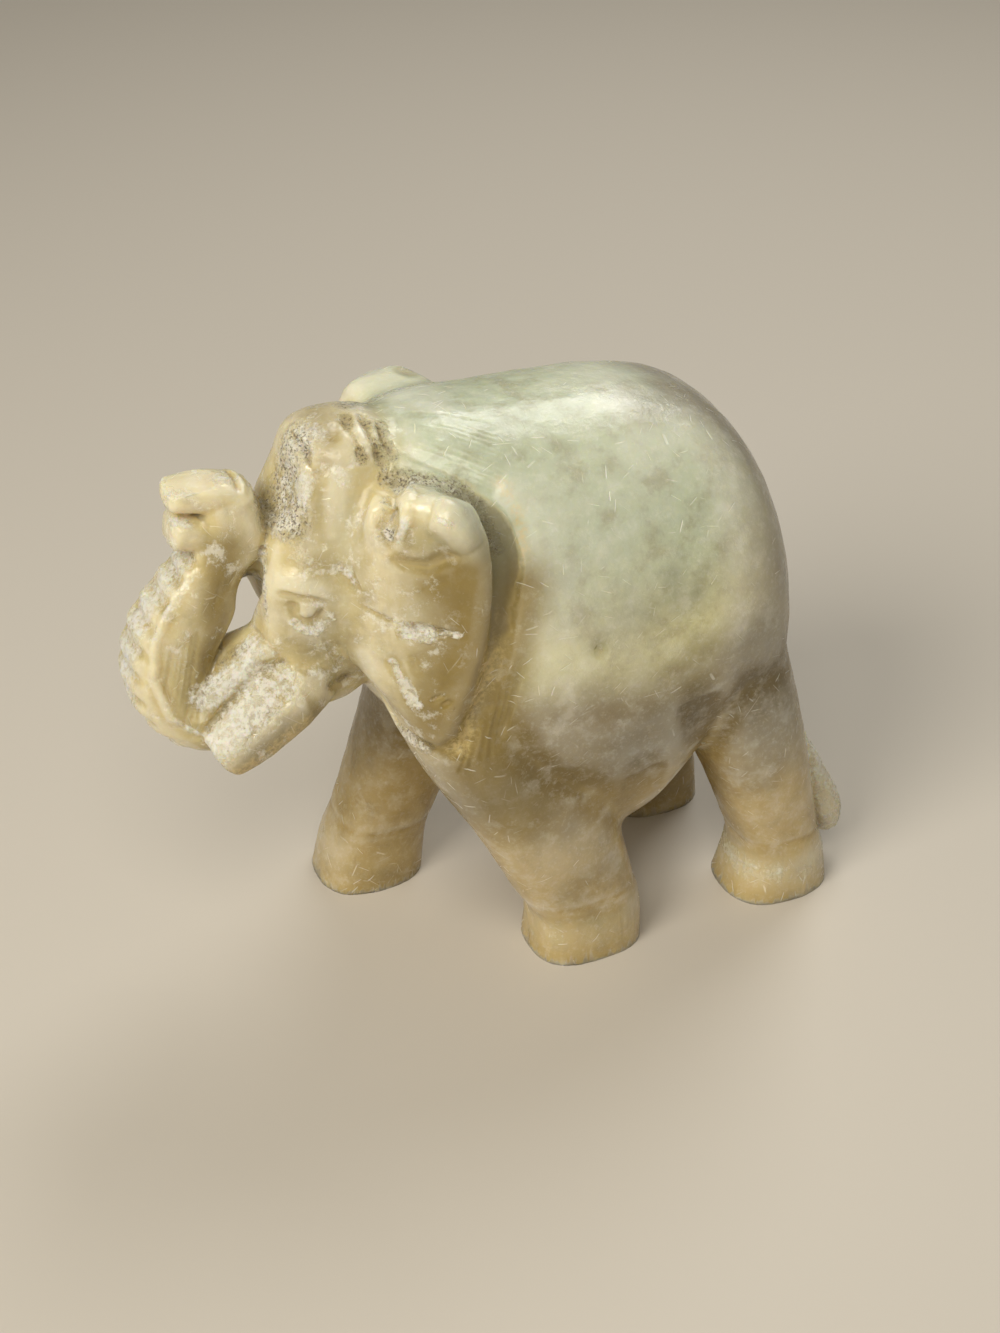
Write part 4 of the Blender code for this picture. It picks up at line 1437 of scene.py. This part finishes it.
@dataclass(frozen=True)
class Soapstone:
    """Pale green soapstone with a waxy polish, handled for years."""

    pale: Colour = (0.55, 0.59, 0.44, 1.0)
    # Yellower cream of the mid flank, partly painted light where most light falls on the flank.
    cream_and_painted_light: Colour = (0.70, 0.67, 0.40, 1.0)
    # Brown of the painted shade low on the body and towards the rump, also used for random mottling.
    painted_shade_and_mottle: Colour = (0.21, 0.148, 0.047, 1.0)
    tan: Colour = (0.50, 0.37, 0.15, 1.0)
    honey: Colour = (0.66, 0.56, 0.30, 1.0)
    # Translucent amber, also used as painted shade on the far legs.
    amber: Colour = (0.28, 0.20, 0.055, 1.0)
    # Dark grey-brown of the clouds in the stone, also painted shade over the rump.
    cloud_and_shade: Colour = (0.135, 0.10, 0.042, 1.0)
    # Warm yellow, also painted glow on the belly and behind the ear.
    warm: Colour = (0.68, 0.53, 0.23, 1.0)
    # Brown of the dirt flecks and of the painted shade in deep hollows and creases.
    dirt_and_shade_brown: Colour = (0.16, 0.12, 0.07, 1.0)
    # Milky white, also painted sheen and light on the head, the ear rim and the tail.
    milk_and_sheen: Colour = (0.88, 0.84, 0.62, 1.0)
    chalk: Colour = (0.92, 0.90, 0.81, 1.0)
    bare: Colour = (0.96, 0.95, 0.88, 1.0)
    polish: float = 0.18
    frosted: float = 0.7
    glow: float = 0.8
    glow_radius: Point = (1.0, 0.8, 0.4)
    glow_depth: float = 0.0019
    relief_depth: float = 0.00009
    refraction: float = 1.54

    def material(self) -> bpy.types.Material:
        """Make the stone's material."""
        material = bpy.data.materials.new("soapstone")
        material.use_nodes = True
        bench = Bench(material.node_tree)
        shader = material.node_tree.nodes["Principled BSDF"]
        place = bench.add("ShaderNodeTexCoord").outputs["Object"]
        scratches = scratch_group()

        def scratch(
            scale: float, width: float, length: float, share: float, shift: Point
        ) -> bpy.types.NodeSocket:
            """One layer of scattered scratches."""
            node = bench.add("ShaderNodeGroup", node_tree=scratches)
            moved = bench.vector("ADD", place, shift).outputs[0]
            values = {"Place": moved, "Scale": scale, "Width": width, "Length": length, "Share": share}
            for name, value in values.items():
                bench.feed(node.inputs[name], value)
            return node.outputs[0]

        grain = bench.noise(place, 2600, 4, 0.65)
        mottle = bench.noise(place, 420, 5, 0.6)
        drift = bench.noise(place, 95, 4, 0.5)
        where = bench.add("ShaderNodeSeparateXYZ")
        bench.feed(where.inputs[0], place)
        hollow = bench.coat("hollow")
        broken = bench.plus(bench.times(grain, 3.2), bench.times(mottle, 2.0))

        def laid(coat: Coat, low: float, high: float) -> bpy.types.NodeSocket:
            """A coat whose edge is broken up by the grain."""
            value = bench.times(bench.coat(coat.value), bench.math("SUBTRACT", broken, 1.6))
            return bench.step(value, low, high)

        bruises = bench.step(bench.noise(place, 1500, 5, 0.75), 0.40, 0.52, 0.4, 1.0)
        # Frosting, which also carries a few painted highlights and the painted light on the tail.
        frost_and_painted_light = bench.times(laid(Coat.FROST_AND_PAINTED_LIGHT, 0.3, 0.95), bruises)
        # The dirt coat, which also carries the painted shade under the rolled rim.
        dirt_and_shade = laid(Coat.DIRT_AND_SHADE, 0.2, 0.8)
        warm_and_glow_laid = laid(Coat.WARM, 0.1, 1.2)
        cloud_and_shade_laid = bench.step(bench.coat(Coat.CLOUD_AND_SHADE.value), 0.0, 1.0)
        milk_and_sheen_laid = bench.times(bench.coat(Coat.MILK_AND_SHEEN.value), bench.step(mottle, 0.2, 0.75, 0.2, 1.0))
        amber_laid = bench.step(bench.coat(Coat.AMBER.value), 0.0, 1.0)
        rasp = bench.coat(Coat.RASP.value)
        sunk = bench.step(hollow, 0.08, 0.6)
        proud = bench.step(hollow, -0.08, -0.6)
        wander = bench.times(bench.math("SUBTRACT", drift, 0.5), 0.014)
        level = bench.plus(where.outputs[2], wander)
        along = bench.plus(where.outputs[0], bench.times(wander, 0.5))

        # The mid flank turns cream: partly the stone's yellower tone, partly painted light where most light
        # falls.
        colour = bench.blend(bench.step(level, 0.041, 0.033), self.pale, self.cream_and_painted_light)
        # Painted shade: the body turns darker towards the bottom and towards the rump, where less light
        # falls.
        colour = bench.blend(bench.step(level, 0.034, 0.025), colour, self.painted_shade_and_mottle)
        colour = bench.blend(bench.step(along, 0.011, 0.019, 0.0, 0.85), colour, self.painted_shade_and_mottle)
        colour = bench.blend(bench.step(level, 0.021, 0.011), colour, self.tan)
        fore = bench.times(bench.step(along, -0.0065, -0.0115), bench.step(where.outputs[2], 0.021, 0.028))
        colour = bench.blend(fore, colour, self.honey)
        # Amber: the ears' translucent tone, and painted shade on the far legs.
        colour = bench.blend(amber_laid, colour, self.amber)
        # Grey clouds at random and where laid; over the rump the laid clouds are partly painted shade.
        clouds = bench.math("MAXIMUM", bench.step(drift, 0.52, 0.72, 0.0, 0.5), cloud_and_shade_laid)
        colour = bench.blend(bench.times(clouds, 0.85), colour, self.cloud_and_shade)
        # Random brown mottling in the stone.
        colour = bench.blend(bench.step(mottle, 0.48, 0.7, 0.0, 0.35), colour, self.painted_shade_and_mottle)
        clear = bench.step(amber_laid, 0.0, 1.0, 1.0, 0.25)
        colour = bench.blend(bench.times(bench.step(mottle, 0.5, 0.3, 0.0, 0.22), clear), colour, self.chalk)
        colour = bench.blend(bench.times(bench.step(grain, 0.5, 0.7, 0.0, 0.14), clear), colour, self.chalk)
        # Yellow patina in the hollows, and the warm coat, which on the belly and behind the ear is painted
        # glow.
        warmth_and_glow = bench.math("MAXIMUM", warm_and_glow_laid, bench.times(sunk, 0.35))
        colour = bench.blend(bench.times(warmth_and_glow, 0.85), colour, self.warm)
        # Milky white, which on the temple, brow, rolled rim and tail is painted sheen and light.
        colour = bench.blend(bench.times(milk_and_sheen_laid, 0.7), colour, self.milk_and_sheen)
        feathers = bench.step(bench.noise(place, 560, 6, 0.75), 0.53, 0.66)
        feathers = bench.times(feathers, bench.step(fore, 0.0, 1.0, 0.12, 0.5))
        colour = bench.blend(feathers, colour, self.bare)
        nicks = bench.math(
            "MAXIMUM",
            bench.times(scratch(230, 0.00005, 0.0015, 0.22, (0.0, 0.0, 0.0)), 0.6),
            bench.times(scratch(430, 0.00005, 0.0009, 0.45, (0.31, 0.17, 0.05)), 0.8),
        )
        nicks = bench.math("MAXIMUM", nicks, scratch(850, 0.00005, 0.0006, 0.6, (0.11, 0.4, 0.2)))
        worn = bench.math("MAXIMUM", bench.step(bench.noise(place, 150, 4, 0.6), 0.44, 0.62), rasp)
        nicks = bench.times(nicks, bench.times(worn, bench.step(fore, 0.0, 1.0, 1.0, 0.45)))
        colour = bench.blend(bench.times(nicks, 0.5), colour, self.bare)
        colour = bench.blend(bench.times(frost_and_painted_light, 0.85), colour, self.chalk)
        colour = bench.blend(bench.times(bench.times(proud, 0.3), clear), colour, self.chalk)
        flecks = bench.step(bench.noise(place, 4200, 4, 0.7), 0.48, 0.62)
        dirt_and_hollow_shade = bench.times(dirt_and_shade, bench.plus(bench.times(flecks, 0.8), 0.08))
        # Painted shade: the deepest hollows are darkened where shade falls in them.
        deep = bench.times(bench.step(hollow, 0.5, 1.0, 0.0, 0.4), bench.step(frost_and_painted_light, 0.0, 0.6, 1.0, 0.0))
        dirt_and_hollow_shade = bench.math("MAXIMUM", dirt_and_hollow_shade, deep)
        colour = bench.blend(dirt_and_hollow_shade, colour, self.dirt_and_shade_brown)
        bench.feed(shader.inputs["Base Color"], colour)

        rough = bench.step(mottle, 0.2, 0.8, self.polish - 0.05, self.polish + 0.12)
        rough = bench.plus(rough, bench.times(frost_and_painted_light, self.frosted - self.polish))
        rough = bench.plus(rough, bench.times(dirt_and_shade, 0.3))
        rough = bench.plus(rough, bench.times(nicks, 0.25), clamp=True)
        bench.feed(shader.inputs["Roughness"], rough)

        wax = bench.noise(place, 620, 5, 0.6)
        crust = bench.plus(bench.times(bench.math("MAXIMUM", frost_and_painted_light, dirt_and_shade), 3.0), 0.10)
        pits = bench.times(bench.noise(place, 2900, 5, 0.7), crust)
        relief = bench.math("SUBTRACT", bench.plus(wax, pits), bench.times(nicks, 0.4))
        relief = bench.math("SUBTRACT", relief, bench.times(dirt_and_hollow_shade, 0.5))
        relief = bench.math("SUBTRACT", relief, bench.times(feathers, 0.8))
        bump = bench.add("ShaderNodeBump")
        bump.inputs["Strength"].default_value = 1.0
        bump.inputs["Distance"].default_value = self.relief_depth
        bench.feed(bump.inputs["Height"], relief)
        bench.feed(shader.inputs["Normal"], bump.outputs[0])

        shader.inputs["IOR"].default_value = self.refraction
        shader.inputs["Subsurface Weight"].default_value = self.glow
        shader.inputs["Subsurface Radius"].default_value = self.glow_radius
        shader.inputs["Subsurface Scale"].default_value = self.glow_depth
        return material


@dataclass(frozen=True)
class PaleFloor:
    """A plain pale floor."""

    colour: Colour = (0.60, 0.55, 0.48, 1.0)
    size: float = 3.0

    def build(self) -> bpy.types.Object:
        """Lay the floor."""
        bpy.ops.object.select_all(action="DESELECT")
        bpy.ops.mesh.primitive_plane_add(size=self.size, location=(0, 0, 0))
        floor = bpy.context.object
        floor.name = "floor"
        material = bpy.data.materials.new("pale_floor")
        material.use_nodes = True
        bench = Bench(material.node_tree)
        shader = material.node_tree.nodes["Principled BSDF"]
        shader.inputs["Base Color"].default_value = self.colour
        shader.inputs["Roughness"].default_value = 0.6
        floor.data.materials.append(material)
        return floor


@dataclass(frozen=True)
class SoftLamp:
    """A large soft lamp that is aimed at the figure."""

    name: str
    place: Point
    size: float
    watts: float
    colour: tuple[float, float, float]
    aim: Point = (0.0, 0.0, 0.025)

    def build(self) -> bpy.types.Object:
        """Hang the lamp."""
        lamp = bpy.data.lights.new(self.name, "AREA")
        lamp.shape = "DISK"
        lamp.size = self.size
        lamp.energy = self.watts
        lamp.color = self.colour
        obj = bpy.data.objects.new(self.name, lamp)
        obj.location = self.place
        toward = Vector(self.aim) - Vector(self.place)
        obj.rotation_euler = toward.to_track_quat("-Z", "Y").to_euler()
        bpy.context.scene.collection.objects.link(obj)
        return obj


@dataclass(frozen=True)
class Camera:
    """The photograph's viewing angle: where the camera stands, and its heading from +Y and dip in degrees."""

    place: Point = (-0.05243, -0.12273, 0.11782)
    heading: float = 23.3
    dip: float = 35.2
    lens: float = 54.09
    film_height: float = 36.0

    def build(self) -> bpy.types.Object:
        """Set up the camera."""
        heading, dip = math.radians(self.heading), math.radians(self.dip)
        right = Vector((math.cos(heading), -math.sin(heading), 0))
        ahead = Vector((math.sin(heading), math.cos(heading), 0)) * math.cos(dip) - Vector(
            (0, 0, math.sin(dip))
        )
        up = right.cross(ahead)
        data = bpy.data.cameras.new("camera")
        data.sensor_fit = "VERTICAL"
        data.sensor_height = self.film_height
        data.lens = self.lens
        data.clip_start = 0.005
        data.clip_end = 10
        camera = bpy.data.objects.new("camera", data)
        turn = Matrix((right, up, -ahead)).transposed().to_4x4()
        camera.matrix_world = Matrix.Translation(self.place) @ turn
        bpy.context.scene.collection.objects.link(camera)
        bpy.context.scene.camera = camera
        return camera


@dataclass
class Studio:
    """The plain setting: floor, soft light and camera."""

    floor: PaleFloor = PaleFloor()
    camera: Camera = Camera()
    sky: Colour = (0.96, 0.87, 0.70, 1.0)
    sky_strength: float = 0.09
    view: str = "Standard"
    lamps: list[SoftLamp] = field(
        default_factory=lambda: [
            SoftLamp("key", (0.16, 0.15, 0.31), 0.20, 0.48, (1.0, 1.0, 0.96)),
            SoftLamp("front", (-0.30, -0.15, 0.30), 0.22, 1.35, (1.0, 0.96, 0.87)),
            SoftLamp("side", (-0.12, -0.28, 0.42), 0.25, 0.80, (1.0, 0.97, 0.88)),
        ]
    )

    def build(self) -> None:
        """Set up the floor, the lamps, the sky and the camera."""
        self.floor.build()
        self.camera.build()
        for lamp in self.lamps:
            lamp.build()
        world = bpy.data.worlds.new("sky")
        world.use_nodes = True
        back = world.node_tree.nodes["Background"]
        back.inputs[0].default_value = self.sky
        back.inputs[1].default_value = self.sky_strength
        bpy.context.scene.world = world
        bpy.context.scene.view_settings.view_transform = self.view


def main() -> None:
    """Carve the stone, dress it and set it in the studio."""
    logging.basicConfig(level=logging.INFO, format="%(name)s: %(message)s")
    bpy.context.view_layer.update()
    regions = [
        Torso(),
        left_foreleg(),
        right_foreleg(),
        left_hindleg(),
        right_hindleg(),
        Head(),
        Ears(),
        Trunk(),
        Tusks(),
        Tail(),
    ]
    stone = Carving(regions).build()
    stone.data.materials.clear()
    stone.data.materials.append(Soapstone().material())
    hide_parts(NODE)
    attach(stone, "root")
    Studio().build()


if __name__ == "__main__":
    main()
